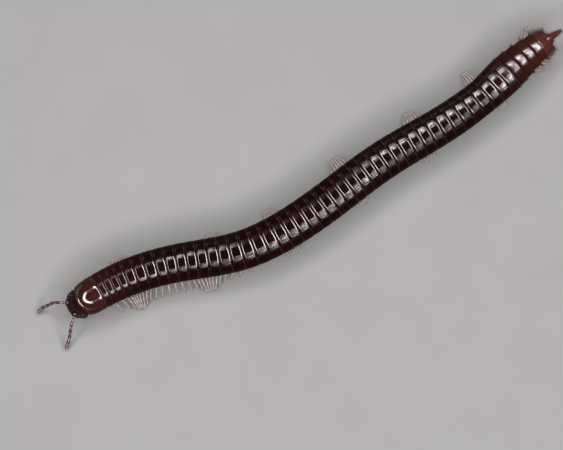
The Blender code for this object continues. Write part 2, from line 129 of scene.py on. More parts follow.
def place(along, out, height):
    """Points given by distance along the body, out to the animal's right, and height above the floor."""
    along, out, height = np.broadcast_arrays(along, out, height)
    turn = np.radians(smooth(DIRECTION, along))
    ahead = np.minimum(along, 0.0)
    x = np.interp(along, LINE_S, LINE_X) + ahead * np.cos(turn) - out * np.sin(turn)
    y = np.interp(along, LINE_S, LINE_Y) + ahead * np.sin(turn) + out * np.cos(turn)
    return np.stack([x, y, height], axis=-1)


def way_back(along):
    """The way towards the tail at a place on the body's line."""
    return place(along + 1, 0, 0) - place(along, 0, 0)


def girth(along):
    """Half the body's width."""
    return smooth(GIRTH, along)


def axis_height(along):
    """The belly hangs at one height, so the middle of a thinner stretch lies lower."""
    return BELLY_HEIGHT + (1 - BELLY_FLATNESS) * girth(along)


def hind_margin(ring):
    """Where a ring's hind edge lies along the body."""
    return float(smooth(HIND_MARGINS, ring))


def body_points(along, radius, angle):
    """Points of a round body with a flattened belly. The angle runs from the top to the right."""
    below = (1 - np.cos(angle)) / 2
    rise = radius * (np.cos(angle) + BELLY_FLATNESS * below**3)
    return place(along, radius * np.sin(angle), axis_height(along) + rise)


def from_top(angle):
    """How far an angle lies from the top, in degrees, on either side."""
    return np.degrees(np.abs((angle + math.pi) % (2 * math.pi) - math.pi))


def make_piece(name, tubes, material, uv_name):
    """One mesh of closed tubes. A tube is its points, in rows of equal length, and a value for each
    row. The UV map holds that value and the share of the way round."""
    points, faces, uvs = [], [], []
    base = 0
    for grid, values in tubes:
        rows, sides = grid.shape[:2]
        row, side = np.mgrid[0:rows - 1, 0:sides]
        after = (side + 1) % sides
        here, behind = base + row * sides, base + (row + 1) * sides
        corners = [here + side, here + after, behind + after, behind + side]
        faces += np.stack(corners, axis=-1).reshape(-1, 4).tolist()
        low, high = np.asarray(values)[row], np.asarray(values)[row + 1]
        u = np.stack([low, low, high, high], axis=-1)
        v = np.stack([side, side + 1, side + 1, side], axis=-1) / sides
        uvs.append(np.stack([u, v], axis=-1).reshape(-1, 2))
        last = base + (rows - 1) * sides
        faces.append(list(range(base, base + sides))[::-1])
        faces.append(list(range(last, last + sides)))
        uvs.append(np.tile([values[0], 0.0], (sides, 1)))
        uvs.append(np.tile([values[-1], 0.0], (sides, 1)))
        points.append(grid.reshape(-1, 3))
        base += rows * sides
    return finish_piece(name, np.concatenate(points), faces, material, uv_name, np.concatenate(uvs))


def finish_piece(name, points, faces, material, uv_name, uvs):
    """The object of one mesh, with its faces turned outwards, riding with the animal."""
    mesh = bpy.data.meshes.new(name)
    mesh.from_pydata((points * MM).tolist(), [], faces)
    mesh.uv_layers.new(name=uv_name).data.foreach_set("uv", np.asarray(uvs, dtype=np.float32).ravel())
    shape = bmesh.new()
    shape.from_mesh(mesh)
    bmesh.ops.recalc_face_normals(shape, faces=shape.faces)
    shape.to_mesh(mesh)
    shape.free()
    mesh.shade_smooth()
    mesh.materials.append(material)
    piece = bpy.data.objects.new(name, mesh)
    bpy.context.scene.collection.objects.link(piece)
    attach(piece, "root")
    return piece


def ring_grid(ring, chance):
    """One ring's points, with its own small differences in the furrows."""
    start, end = hind_margin(ring - 1), hind_margin(ring)
    share, fall, furrow = (column[:, None] for column in np.array(RING_ROWS).T)
    sides = FURROWS * len(FURROW_COLUMNS)
    shift = chance.uniform(-0.3, 0.3) * furrow
    angle = 2 * math.pi * (np.arange(sides) + shift) / sides
    away = from_top(angle)
    top_from, top_to, top_share = FURROW_FADE_TOP
    depth = FURROW_DEPTH * (top_share + (1 - top_share) * ease(away, top_from, top_to))
    depth = depth * (1 - ease(away, *FURROW_FADE_BELLY)) * smooth(FURROW_GROWTH, ring)
    depth = depth * np.repeat(chance.uniform(*FURROW_UNEVEN, FURROWS), len(FURROW_COLUMNS))
    flank_from, flank_to, flank_share = FLANK_FALL
    fall = fall * (1 - (1 - flank_share) * ease(away, flank_from, flank_to))
    along = start + share * (end - start)
    taper = 1 - (1 - LEVEL_TAPER) * ease(ring, *LEVEL_RINGS)
    level = (start + end) / 2 + taper * (along - (start + end) / 2)
    radius = girth(level) * (1 - fall) - depth * furrow * np.tile(FURROW_COLUMNS, FURROWS)
    points = body_points(along, radius, angle)
    points[..., 2] += axis_height(level) - axis_height(along)
    return points, ring + share[:, 0]


def plain_ring(along, width, sides):
    """A plain section of the body, a share of its half width."""
    angle = 2 * math.pi * np.arange(sides)[None, :] / sides
    return body_points(np.array([[along]]), width * girth(along), angle)


def add(tree, kind, links=(), **settings):
    """Adds a node, sets its properties, and links sockets of other nodes to it."""
    node = tree.nodes.new(kind)
    for key, value in settings.items():
        setattr(node, key, value)
    for socket, source in links:
        tree.links.new(source, node.inputs[socket])
    return node


def ramp(tree, source, stops):
    """A colour ramp through stops of place and colour, or place and grey."""
    node = add(tree, "ShaderNodeValToRGB", [("Fac", source)])
    band = node.color_ramp
    while len(band.elements) < len(stops):
        band.elements.new(1.0)
    for element, (at, colour) in zip(band.elements, stops):
        element.position = at
        element.color = (*colour, 1.0) if isinstance(colour, tuple) else (colour, colour, colour, 1.0)
    return node.outputs["Color"]


def math_node(tree, operation, first, second=0.5):
    """One sum. Each of the two is a socket or a plain value."""
    node = add(tree, "ShaderNodeMath", operation=operation)
    for socket, value in enumerate((first, second)):
        if isinstance(value, (int, float)):
            node.inputs[socket].default_value = value
        else:
            tree.links.new(value, node.inputs[socket])
    return node.outputs["Value"]


def mixed(tree, share, first, second, blend_type="MIX"):
    """Two colours mixed. Each of the three is a socket or a plain value."""
    node = add(tree, "ShaderNodeMix", data_type="RGBA", blend_type=blend_type)
    for socket, value in zip(("Factor", "A", "B"), (share, first, second)):
        target = next(entry for entry in node.inputs if entry.name == socket and entry.enabled)
        if isinstance(value, (int, float)):
            target.default_value = value
        elif isinstance(value, tuple):
            target.default_value = (*value, 1.0)
        else:
            tree.links.new(value, target)
    return next(entry for entry in node.outputs if entry.enabled)


def times(tree, first, second):
    """Two colours or greys multiplied."""
    return mixed(tree, 1.0, first, second, "MULTIPLY")


def map_parts(tree, uv_name):
    """The two values of a piece's UV map."""
    uv_map = add(tree, "ShaderNodeUVMap", uv_map=uv_name)
    parts = add(tree, "ShaderNodeSeparateXYZ", [("Vector", uv_map.outputs["UV"])])
    return parts.outputs["X"], parts.outputs["Y"]


def share_from_top(tree, round_share):
    """From 0 at the top of the body to 1 at the belly, from the share of the way round."""
    return math_node(tree, "MULTIPLY", math_node(tree, "PINGPONG", round_share, 0.5), 2.0)


# Shell shines from a clear outer coat. What lies under the coat has only a faint, reddish sheen.
COAT_IOR = 2.4
SHEEN_LEVEL = 0.06
SHEEN_TINT = (1.0, 0.45, 0.38, 1.0)
NOISE_ROUGHNESS = 0.55


def new_material(name, ior=1.5, coat=0.0, coat_roughness=0.1):
    """A material with its shader, tree, and the points of the object to read patterns from."""
    material = bpy.data.materials.new(name)
    material.use_nodes = True
    tree = material.node_tree
    shader = tree.nodes["Principled BSDF"]
    shader.inputs["IOR"].default_value = ior
    shader.inputs["Specular IOR Level"].default_value = SHEEN_LEVEL
    shader.inputs["Specular Tint"].default_value = SHEEN_TINT
    shader.inputs["Coat Weight"].default_value = coat
    shader.inputs["Coat IOR"].default_value = COAT_IOR
    shader.inputs["Coat Roughness"].default_value = coat_roughness
    return material, tree, shader, add(tree, "ShaderNodeTexCoord").outputs["Object"]


def noise(tree, spot, size, detail=3.0):
    """Cloudy noise with lumps of about a size in millimetres."""
    node = add(tree, "ShaderNodeTexNoise", [("Vector", spot)])
    node.inputs["Scale"].default_value = 1 / (size * MM)
    node.inputs["Detail"].default_value = detail
    node.inputs["Roughness"].default_value = NOISE_ROUGHNESS
    return node.outputs["Fac"]


def bump(tree, shader, height, depth):
    """Links a pattern to the shader as relief of a depth in millimetres."""
    node = add(tree, "ShaderNodeBump", [("Height", height)])
    node.inputs["Strength"].default_value = 1.0
    node.inputs["Distance"].default_value = depth * MM
    tree.links.new(node.outputs["Normal"], shader.inputs["Normal"])


RING_DARK = (0.0062, 0.0014, 0.0015)
RING_DULL = (0.0070, 0.0019, 0.0019)
RING_GROOVE = (0.0090, 0.0028, 0.0026)
RING_EDGE_FRONT = (0.022, 0.010, 0.009)
# The hind edge is red-brown, and its colour is made paler still as a painted highlight: the thin pale lines
# that glints draw along the hind edges on the flanks.
RING_EDGE_RED_AND_PAINTED_GLINT = (0.036, 0.0160, 0.0135)
RING_RED = (0.042, 0.0130, 0.0090)
RING_BELLY = (0.060, 0.040, 0.033)

# Along the body, colours and gloss are read from ramps that are this many rings long.
MAP_RINGS = 60.0

# How glossy the level middle of a ring is on each side of the top, by ring.
TOP_GLOSS_RIGHT = (
    (2, 0.05), (9, 0.08), (10.5, 0.45), (16, 0.35), (17.5, 0.02), (29, 0.04), (32, 0.75),
    (43, 0.85), (45, 0.6), (47, 1.0),
)
TOP_GLOSS_LEFT = (
    (2, 0.45), (9, 0.40), (10.5, 0.20), (16, 0.30), (19, 0.65), (30, 0.80), (32, 0.25),
    (43, 0.30), (44.5, 1.0),
)


def ring_colour(tree, spot, share, ring_place, away):
    """Brown-black, with a grey-brown front band, a red-brown hind edge lightened by a painted highlight, and
    a paler belly.
    """
    # The last stops are the hind edge: red-brown, lightened as a painted highlight.
    colour = ramp(tree, share, (
        (0.00, RING_DULL), (0.09, RING_DULL), (0.107, RING_GROOVE), (0.14, RING_DARK),
        (0.91, RING_DARK), (0.96, RING_EDGE_FRONT), (0.985, RING_EDGE_RED_AND_PAINTED_GLINT), (1.0, RING_GROOVE),
    ))
    colour = times(tree, colour, ramp(tree, noise(tree, spot, 0.9), ((0.3, 0.70), (0.7, 1.35))))
    redness = ramp(tree, ring_place, (
        (0.03, 0.45), (0.083, 0.22), (0.13, 0.05), (0.18, 0.0), (0.72, 0.0), (0.77, 0.45), (0.815, 1.0),
    ))
    colour = mixed(tree, redness, colour, mixed(tree, 0.35, RING_RED, colour))
    return mixed(tree, ramp(tree, away, ((0.74, 0.0), (0.88, 0.8))), colour, RING_BELLY)


def level_gloss(tree, number, share, round_share, ring_place):
    """The gloss of a ring's level middle, broken up by the furrows and by uneven strokes."""
    right, left = (
        ramp(tree, ring_place, [(ring / MAP_RINGS, gloss) for ring, gloss in stops])
        for stops in (TOP_GLOSS_RIGHT, TOP_GLOSS_LEFT)
    )
    right = times(tree, right, ramp(tree, share, ((0.50, 1.0), (0.80, 0.3))))
    left = times(tree, left, ramp(tree, share, ((0.28, 0.35), (0.58, 1.0))))
    gloss = mixed(tree, ramp(tree, round_share, ((0.45, 0.0), (0.55, 1.0))), right, left)
    furrow = math_node(tree, "FRACT", math_node(tree, "MULTIPLY", round_share, float(FURROWS)))
    ribs = ramp(tree, furrow, (
        (0.0, 1.0), (0.27, 0.9), (0.42, 0.2), (0.58, 0.2), (0.73, 0.9), (1.0, 1.0),
    ))
    strokes = add(tree, "ShaderNodeCombineXYZ", [
        ("X", math_node(tree, "MULTIPLY", number, 2.2)),
        ("Y", math_node(tree, "MULTIPLY", round_share, 90.0)),
    ])
    uneven = add(tree, "ShaderNodeTexNoise", [("Vector", strokes.outputs["Vector"])])
    uneven.inputs["Scale"].default_value = 1.0
    uneven.inputs["Detail"].default_value = 2.0
    ribs = times(tree, ribs, ramp(tree, uneven.outputs["Fac"], ((0.35, 0.45), (0.65, 1.45))))
    gloss = times(tree, gloss, ribs)
    level = ramp(tree, share, ((0.18, 0.0), (0.24, 1.0), (0.86, 1.0), (0.91, 0.0)))
    return mixed(tree, level, (1.0, 1.0, 1.0), gloss)


def ring_gloss(tree, number, share, round_share, ring_place, away):
    """The coat lies on the upper side behind the groove. The last rings' front slopes have none."""
    glossy = ramp(tree, share, ((0.0, 0.03), (0.105, 0.03), (0.135, 1.0), (0.975, 1.0), (1.0, 0.1)))
    plain = ramp(tree, share, ((0.20, 0.02), (0.26, 1.0), (0.86, 1.0), (0.92, 0.02)))
    last_rings = ramp(tree, ring_place, ((45.9 / MAP_RINGS, 0.0), (46.1 / MAP_RINGS, 1.0)))
    glossy = mixed(tree, last_rings, glossy, plain)
    upper = ramp(tree, away, ((0.20, 1.0), (0.27, 0.005)))
    upper = mixed(tree, last_rings, upper, ramp(tree, away, ((0.06, 1.0), (0.13, 0.03))))
    glossy = times(tree, glossy, level_gloss(tree, number, share, round_share, ring_place))
    return math_node(tree, "MULTIPLY", glossy, upper)


def ring_material(name, coat_roughness):
    """Brown-black shell. The map's first value is the ring's number and the share of its length."""
    material, tree, shader, spot = new_material(name, ior=1.2, coat_roughness=coat_roughness)
    number, round_share = map_parts(tree, "Ring")
    share = math_node(tree, "FRACT", number)
    ring_place = math_node(tree, "DIVIDE", number, MAP_RINGS)
    away = share_from_top(tree, round_share)
    tree.links.new(ring_colour(tree, spot, share, ring_place, away), shader.inputs["Base Color"])
    gloss = ring_gloss(tree, number, share, round_share, ring_place, away)
    tree.links.new(gloss, shader.inputs["Coat Weight"])
    dull = ramp(tree, share, ((0.0, 0.48), (0.10, 0.44), (0.15, 0.30), (0.88, 0.28), (0.98, 0.34)))
    grain = math_node(tree, "MULTIPLY", noise(tree, spot, 0.12, 4.0), 0.6)
    roughness = math_node(tree, "MULTIPLY", dull, math_node(tree, "ADD", grain, 0.7))
    tree.links.new(roughness, shader.inputs["Roughness"])
    cells = add(tree, "ShaderNodeTexVoronoi", [("Vector", spot)], feature="DISTANCE_TO_EDGE")
    cells.inputs["Scale"].default_value = 1 / (0.035 * MM)
    band = ramp(tree, share, ((0.095, 1.0), (0.13, 0.15)))
    relief = math_node(tree, "MULTIPLY", cells.outputs["Distance"], band)
    relief = math_node(tree, "ADD", relief, math_node(tree, "MULTIPLY", noise(tree, spot, 0.06), 0.5))
    bump(tree, shader, relief, 0.004)
    return material


def make_trunk_length(number, first, last, material, chance):
    """The rings of one trunk length as one closed tube, with its ends hidden in its neighbours."""
    sides = FURROWS * len(FURROW_COLUMNS)
    start, end = hind_margin(first - 1), hind_margin(last)
    grids = [plain_ring(start + shift, width, sides) for shift, width in HIDDEN_FRONT]
    values = [[first]] * len(HIDDEN_FRONT)
    for ring in range(first, last + 1):
        grid, ring_values = ring_grid(ring, chance)
        grids.append(grid)
        values.append(ring_values)
    shift, width = HIDDEN_BACK
    grids.append(plain_ring(end + shift, width, sides))
    values.append([last + 0.999])
    tube = np.concatenate(grids), np.concatenate(values)
    rings = make_piece(f"rings_{number}", [tube], material, "Ring")
    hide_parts(f"trunk_{number}")


ring_shell = ring_material("ring_shell", 0.12)
tail_ring_shell = ring_material("ring_shell_hazy", 0.20)
ring_chance = np.random.default_rng(7)
for number, (first, last) in enumerate(TRUNK_LENGTHS, start=1):
    skin = tail_ring_shell if last == LAST_RING else ring_shell
    make_trunk_length(number, first, last, skin, ring_chance)


# Legs
# A ring carries two pairs of thin legs, but the first three carry one pair each. A leg is six short
# tubes of pale chitin, end in end, and a brown claw. They root on narrow plates along the belly, and
# walk in waves: at a crest the feet of one side gather, lift and reach out. The last ones trail.
LAST_LEGGED_RING = 48
SINGLE_PAIR_RINGS = (2, 3, 4)
SINGLE_ROOT = (0.58,)
PAIR_ROOTS = (0.33, 0.83)

# How far the feet stand out from the body's middle, at the crests and between them.
CREST_REACH_RIGHT = (
    (0.0, 1.9), (5.2, 2.2), (12.9, 2.25), (18.7, 2.5), (26.1, 2.8),
    (33.0, 2.65), (39.4, 2.7), (44.2, 2.0), (47.0, 1.7),
)
CREST_REACH_LEFT = (
    (0.0, 2.3), (5.7, 2.75), (12.2, 2.7), (19.0, 2.0), (25.8, 1.95),
    (32.7, 1.9), (40.0, 1.9), (42.5, 2.05), (43.5, 1.9), (44.4, 1.65), (47.0, 1.4),
)
LOW_REACH_RIGHT = ((0.0, 1.5), (5.0, 1.6), (13.0, 1.7), (40.0, 1.65), (44.0, 1.45), (47.0, 1.1))
LOW_REACH_LEFT = (
    (0.0, 2.1), (5.7, 2.4), (10.0, 2.35), (14.0, 2.1), (17.0, 1.4), (22.0, 1.3),
    (40.0, 1.25), (44.0, 1.05), (47.0, 0.8),
)
CRESTS_RIGHT = (
    (-1.9, -1), (5.2, 0), (12.9, 1), (18.7, 2), (26.1, 3), (33.0, 4), (39.4, 5), (44.2, 6), (49.2, 7),
)
CRESTS_LEFT = (
    (-1.2, -1), (5.7, 0), (12.2, 1), (19.0, 2), (25.8, 3), (32.7, 4), (40.0, 5), (43.7, 6), (48.7, 7),
)
FOOT_SWING = 0.115
FOOT_LIFT = 0.30
CREST_FULL = 0.75
LEG_SWEEP = 1.3

# The feet of the last legs trail behind, from one place along the body to another, by so much.
TRAIL_FROM, TRAIL_TO = 41.6, 44.0
TRAIL_BACK = 1.8

# Legs on a shorter ring than this are more slender, down to the least share.
FULL_LEG_PITCH = 0.72
LEAST_STOUT = 0.55

# A tucked leg keeps its knee low, under the belly.
TUCKED_REACH, OPEN_REACH = 1.3, 2.3
KNEE_DROP = 0.14

# A leg's height at shares of its reach, and its joints: where each ends and its half thickness.
LEG_HEIGHTS = (
    (0.06, 0.85), (0.14, 0.58), (0.30, 0.52), (0.46, 0.64), (0.58, 0.68), (0.80, 0.44),
    (0.97, 0.08), (1.0, 0.01),
)
LEG_JOINTS = ((0.10, 0.125), (0.31, 0.112), (0.48, 0.098), (0.62, 0.082), (0.79, 0.066), (0.96, 0.050))
CLAW = (0.96, 0.027)
JOINT_PROFILE = ((0.00, 0.74), (0.10, 0.86), (0.40, 1.00), (0.75, 0.98), (0.93, 0.93), (0.985, 0.78))
CLAW_PROFILE = ((0.00, 1.0), (0.50, 0.72), (0.98, 0.12))
LEG_SIDES = 8

# The plates that the legs root on: half sizes along, out and up, and rise above the belly.
BELLY_PLATE = (0.17, 0.40, 0.11)
BELLY_PLATE_RISE = 0.02


def turn_about(centres, hint, radii, sides):
    """Rings of points round a line of centres, square to it, starting from a hinted direction."""
    run = np.gradient(centres, axis=0)
    run /= np.linalg.norm(run, axis=1, keepdims=True)
    across = hint - (run @ hint)[:, None] * run
    across /= np.linalg.norm(across, axis=1, keepdims=True)
    up = np.cross(run, across)
    angle = 2 * math.pi * np.arange(sides) / sides
    circle = np.cos(angle)[:, None] * across[:, None, :] + np.sin(angle)[:, None] * up[:, None, :]
    return centres[:, None, :] + np.asarray(radii)[:, None, None] * circle


def jointed(joints, profile, tip, tip_profile):
    """Rows of a jointed limb: share of its length, half thickness, and joint number with share."""
    shares, radii, values = [], [], []
    start = 0.0
    for number, (end, thick) in enumerate(joints):
        for share, width in profile:
            shares.append(start + share * (end - start))
            radii.append(thick * width)
            values.append(number + share)
        start = end
    tip_start, tip_thick = tip
    for share, width in tip_profile:
        shares.append(tip_start + share * (1 - tip_start) + 0.001)
        radii.append(tip_thick * width)
        values.append(len(joints) + share)
    return np.array(shares), np.array(radii), np.array(values)


LEG_SHARES, LEG_RADII, LEG_VALUES = jointed(LEG_JOINTS, JOINT_PROFILE, CLAW, CLAW_PROFILE)


def leg_line(root, side, shares):
    """The middle line of a leg that roots at a distance along the body."""
    crests = CRESTS_RIGHT if side > 0 else CRESTS_LEFT
    crest_reaches = CREST_REACH_RIGHT if side > 0 else CREST_REACH_LEFT
    low_reaches = LOW_REACH_RIGHT if side > 0 else LOW_REACH_LEFT
    step = 0.1
    phase = 2 * math.pi * smooth(crests, root)
    wave_length = 2 * step / (smooth(crests, root + step) - smooth(crests, root - step))
    swing = -FOOT_SWING * wave_length * math.sin(phase)
    swing += TRAIL_BACK * ease(root, TRAIL_FROM, TRAIL_TO)
    crest = max(0.0, math.cos(phase))
    low = smooth(low_reaches, root)
    reach = low + (smooth(crest_reaches, root) - low) * ease(crest, 0.0, CREST_FULL)
    tucked = np.clip((OPEN_REACH - reach) / (OPEN_REACH - TUCKED_REACH), 0.0, 1.0)
    first = LEG_HEIGHTS[0][0]
    share = first + shares * (1 - first)
    height = smooth(LEG_HEIGHTS, share) + FOOT_LIFT * crest * share
    height = height - KNEE_DROP * tucked * np.sin(math.pi * np.minimum(share, 1.0))
    return place(root + swing * share**LEG_SWEEP, side * reach * share, height)


def leg_roots():
    """Each pair of legs, as its ring, its place along the body and how stout it is."""
    for ring in range(2, LAST_LEGGED_RING + 1):
        start, end = hind_margin(ring - 1), hind_margin(ring)
        stoutness = min(1.0, LEAST_STOUT + (1 - LEAST_STOUT) * (end - start) / FULL_LEG_PITCH)
        for share in SINGLE_ROOT if ring in SINGLE_PAIR_RINGS else PAIR_ROOTS:
            yield ring, start + share * (end - start), stoutness


def egg(along, out, height, sizes, rows=9, sides=16):
    """A smooth oval lump on the body's line, with its half sizes along, out and up."""
    turn = np.linspace(0.05, math.pi - 0.05, rows)[:, None]
    angle = 2 * math.pi * np.arange(sides)[None, :] / sides
    half_length, half_width, half_height = sizes
    points = place(
        along - half_length * np.cos(turn),
        out + half_width * np.sin(turn) * np.sin(angle),
        height + half_height * np.sin(turn) * np.cos(angle),
    )
    return points, np.linspace(0.0, 1.0, rows)


LEG_PALE = (0.36, 0.290, 0.270)
LEG_TAN = (0.21, 0.145, 0.125)
LEG_BROWN = (0.13, 0.072, 0.056)
CLAW_BROWN = (0.045, 0.018, 0.010)


def leg_material():
    """Pale pinkish chitin, browner near the body and at the joints, with a dark claw."""
    material, tree, shader, spot = new_material("leg_skin", ior=1.5, coat=0.3, coat_roughness=0.2)
    number, _ = map_parts(tree, "Joint")
    share = math_node(tree, "FRACT", number)
    base = ramp(tree, math_node(tree, "DIVIDE", number, 7.0), (
        (0.0, LEG_BROWN), (0.30, LEG_TAN), (0.50, LEG_PALE), (0.855, LEG_PALE), (0.865, CLAW_BROWN),
    ))
    joint = ramp(tree, share, ((0.0, 0.55), (0.10, 0.15), (0.30, 0.0), (0.84, 0.0), (0.95, 0.75)))
    colour = mixed(tree, joint, base, mixed(tree, 0.5, LEG_BROWN, base))
    clouds = noise(tree, spot, 0.15)
    colour = times(tree, colour, ramp(tree, clouds, ((0.3, 0.82), (0.7, 1.15))))
    tree.links.new(colour, shader.inputs["Base Color"])
    tree.links.new(ramp(tree, clouds, ((0.3, 0.30), (0.7, 0.45))), shader.inputs["Roughness"])
    bump(tree, shader, noise(tree, spot, 0.03), 0.003)
    return material


def make_legs(number, first, last, skin, plate_skin):
    """The legs and belly plates of one trunk length."""
    plate_length, plate_width, plate_height = BELLY_PLATE
    legs, plates = [], []
    for ring, root, stoutness in leg_roots():
        if not first <= ring <= last:
            continue
        for side in (1, -1):
            line = leg_line(root, side, LEG_SHARES)
            legs.append((turn_about(line, way_back(root), LEG_RADII * stoutness, LEG_SIDES), LEG_VALUES))
        sizes = plate_length, plate_width * stoutness, plate_height
        plates.append(egg(root, 0.0, BELLY_HEIGHT + BELLY_PLATE_RISE, sizes))
    make_piece(f"legs_{number}", legs, skin, "Joint")
    make_piece(f"belly_plates_{number}", plates, plate_skin, "Plate")


def plain_shell_material(name, dark, light, roughness, coat, speck=0.25):
    """Smooth chitin with soft clouds of colour and a very fine grain, coated on its upper side."""
    material, tree, shader, spot = new_material(name, ior=1.3, coat_roughness=0.1)
    normal = add(tree, "ShaderNodeTexCoord").outputs["Normal"]
    facing = add(tree, "ShaderNodeSeparateXYZ", [("Vector", normal)])
    upper = ramp(tree, facing.outputs["Z"], ((0.66, 0.05 * coat), (0.80, coat)))
    tree.links.new(upper, shader.inputs["Coat Weight"])
    clouds = noise(tree, spot, speck)
    tree.links.new(ramp(tree, clouds, ((0.32, dark), (0.68, light))), shader.inputs["Base Color"])
    grain = noise(tree, spot, 0.05)
    dull = ramp(tree, grain, ((0.3, roughness * 0.8), (0.7, roughness * 1.25)))
    tree.links.new(dull, shader.inputs["Roughness"])
    bump(tree, shader, grain, 0.003)
    return material


leg_skin = leg_material()
plate_skin = plain_shell_material("belly_plate", (0.16, 0.10, 0.08), (0.26, 0.17, 0.14), 0.4, 0.2)
for number, (first, last) in enumerate(TRUNK_LENGTHS, start=1):
    make_legs(number, first, last, leg_skin, plate_skin)


# Collar
# The first ring is a smooth, glossy saddle without legs that covers the neck. Its front edge is a
# fine raised rim over the back of the head, its side lobes narrow downwards, and a few short
# furrows mark the lobes' hind corners.
COLLAR_FRONT = 1.00
COLLAR_BOW = 0.33
COLLAR_SIDES = 216

# Front to back: share of the collar's length, and fall of the surface as a share of the half width.
COLLAR_ROWS = (
    (0.00, 0.075), (0.004, 0.048), (0.011, 0.027), (0.020, 0.0195), (0.0345, 0.0215), (0.049, 0.0252),
    (0.0635, 0.0305), (0.078, 0.0378), (0.090, 0.046), (0.104, 0.045), (0.122, 0.033), (0.155, 0.024),
    (0.20, 0.018), (0.25, 0.015), (0.31, 0.012), (0.38, 0.009), (0.46, 0.006), (0.56, 0.003),
    (0.70, 0.0), (0.82, 0.001), (0.88, 0.004), (0.92, 0.008), (0.95, 0.014), (0.975, 0.024),
    (0.992, 0.038), (1.0, 0.060),
)

# The front half slopes down to the head: to a share of the length, by a fall, on a curve. The slope
# is less on the sides, from one angle to another, down to a share.
COLLAR_SLOPE = (0.50, 0.30, 2.0)
COLLAR_SLOPE_SIDES = (25, 95, 0.30)

# The lobes: where they narrow and are drawn in below, and their furrows from one angle to another.
LOBE_NARROWS = (75, 140)
LOBE_EDGE = (118, 138)
LOBE_DRAWN_IN = 0.12
LOBE_HIND_CUT = 0.42
LOBE_FURROWS = (70, 112, 6)
LOBE_FURROW_DEPTH = 0.016
COLLAR_DARK, COLLAR_LIGHT = (0.021, 0.0058, 0.0045), (0.031, 0.0085, 0.0062)


def make_collar():
    """The saddle as a closed tube, drawn in below the lobes, with both ends hidden."""
    share, fall = (column[:, None] for column in np.array(COLLAR_ROWS).T)
    angle = 2 * math.pi * np.arange(COLLAR_SIDES)[None, :] / COLLAR_SIDES
    away = from_top(angle)
    narrowing = ease(away, *LOBE_NARROWS)
    start = COLLAR_FRONT + COLLAR_BOW * np.sin(np.radians(np.minimum(away, 90))) ** 2
    end = hind_margin(1) - LOBE_HIND_CUT * narrowing
    along = start + share * (end - start)
    radius = girth(along) * (1 - fall - LOBE_DRAWN_IN * ease(away, *LOBE_EDGE))
    first, last, count = LOBE_FURROWS
    wave = 0.5 - 0.5 * np.cos(2 * math.pi * count * (away - first) / (last - first))
    furrowed = (away > first) & (away < last)
    slope_from, slope_fall, slope_curve = COLLAR_SLOPE
    side_from, side_to, side_share = COLLAR_SLOPE_SIDES
    on_top = 1 - (1 - side_share) * ease(away, side_from, side_to)
    radius = radius - slope_fall * np.clip(1 - share / slope_from, 0.0, 1.0) ** slope_curve * on_top
    hind_part = ease(share, 0.55, 0.75) * (1 - ease(share, 0.9, 0.98))
    radius = radius - LOBE_FURROW_DEPTH * wave**2 * furrowed * hind_part
    grid = body_points(along, radius, angle)
    front = body_points(start + 0.35, girth(start) * 0.74 - slope_fall * on_top * 0.5, angle)
    back = body_points(end - 0.05, girth(end) * 0.86 + 0 * angle, angle)
    values = np.concatenate([[0.0], share[:, 0], [1.0]])
    saddle = np.concatenate([front, grid, back])
    collar = make_piece("collar", [(saddle, values)], collar_shell, "Ring")
    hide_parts("collum")


def collar_material():
    """Red-brown shell, glossy on its front slope and hind edge and matt between, with paler rims that are
    partly a painted highlight.
    """
    material, tree, shader, spot = new_material("collar_shell", ior=1.3, coat_roughness=0.08)
    share, round_share = map_parts(tree, "Ring")
    away = share_from_top(tree, round_share)
    glossy = ramp(tree, share, ((0.42, 0.66), (0.56, 0.03), (0.84, 0.03), (0.91, 0.85)))
    upper = ramp(tree, away, ((0.22, 1.0), (0.30, 0.005)))
    tree.links.new(math_node(tree, "MULTIPLY", glossy, upper), shader.inputs["Coat Weight"])
    colour = ramp(tree, noise(tree, spot, 0.6), ((0.3, COLLAR_DARK), (0.7, COLLAR_LIGHT)))
    # Both rims take the rings' hind-edge colour: red-brown, lightened as a painted highlight.
    rim = ramp(tree, share, ((0.0, 0.9), (0.06, 0.7), (0.10, 0.0), (0.93, 0.0), (0.99, 0.9)))
    colour = mixed(tree, rim, colour, RING_EDGE_RED_AND_PAINTED_GLINT)
    tree.links.new(colour, shader.inputs["Base Color"])
    grain = noise(tree, spot, 0.10, 4.0)
    tree.links.new(ramp(tree, grain, ((0.3, 0.17), (0.7, 0.26))), shader.inputs["Roughness"])
    bump(tree, shader, noise(tree, spot, 0.05), 0.0025)
    return material


collar_shell = collar_material()
make_collar()


# Head
# The head is one rounded capsule of smooth dark chitin, tucked under the collar. A fine seam runs
# down its crown, the feelers sit in shallow pits on round bosses, and the jaws, the toothed upper
# lip and the plated floor of the mouth hang below.

# The capsule by distance behind the face: half its width, and the heights of its top and underside.
HEAD_PLAN = (
    (-0.06, 0.04), (-0.03, 0.24), (0.0, 0.34), (0.08, 0.54), (0.22, 0.80), (0.45, 1.04),
    (0.75, 1.20), (1.05, 1.24), (1.30, 1.19), (1.55, 1.10),
)
HEAD_TOP = (
    (-0.06, 1.26), (-0.03, 1.42), (0.0, 1.52), (0.08, 1.70), (0.22, 1.95), (0.45, 2.22),
    (0.75, 2.50), (1.05, 2.72), (1.30, 2.86), (1.55, 2.84),
)
HEAD_UNDER = (
    (-0.06, 1.18), (-0.03, 1.04), (0.0, 0.94), (0.08, 0.80), (0.22, 0.66), (0.45, 0.60),
    (0.75, 0.60), (1.05, 0.62), (1.30, 0.70), (1.55, 0.85),
)
HEAD_SQUARENESS = 2.3
HEAD_SIDES = 192
HEAD_ROWS = 60

# The crown's seam: from, to, depth, and width in degrees. The pits: radius, radius of the floor, depth.
CROWN_SEAM = (0.42, 1.50, 0.020, 1.6)
FEELER_PIT = (0.40, 0.30, 0.045)
HEAD_DARK, HEAD_LIGHT = (0.011, 0.0036, 0.0030), (0.018, 0.0055, 0.0043)


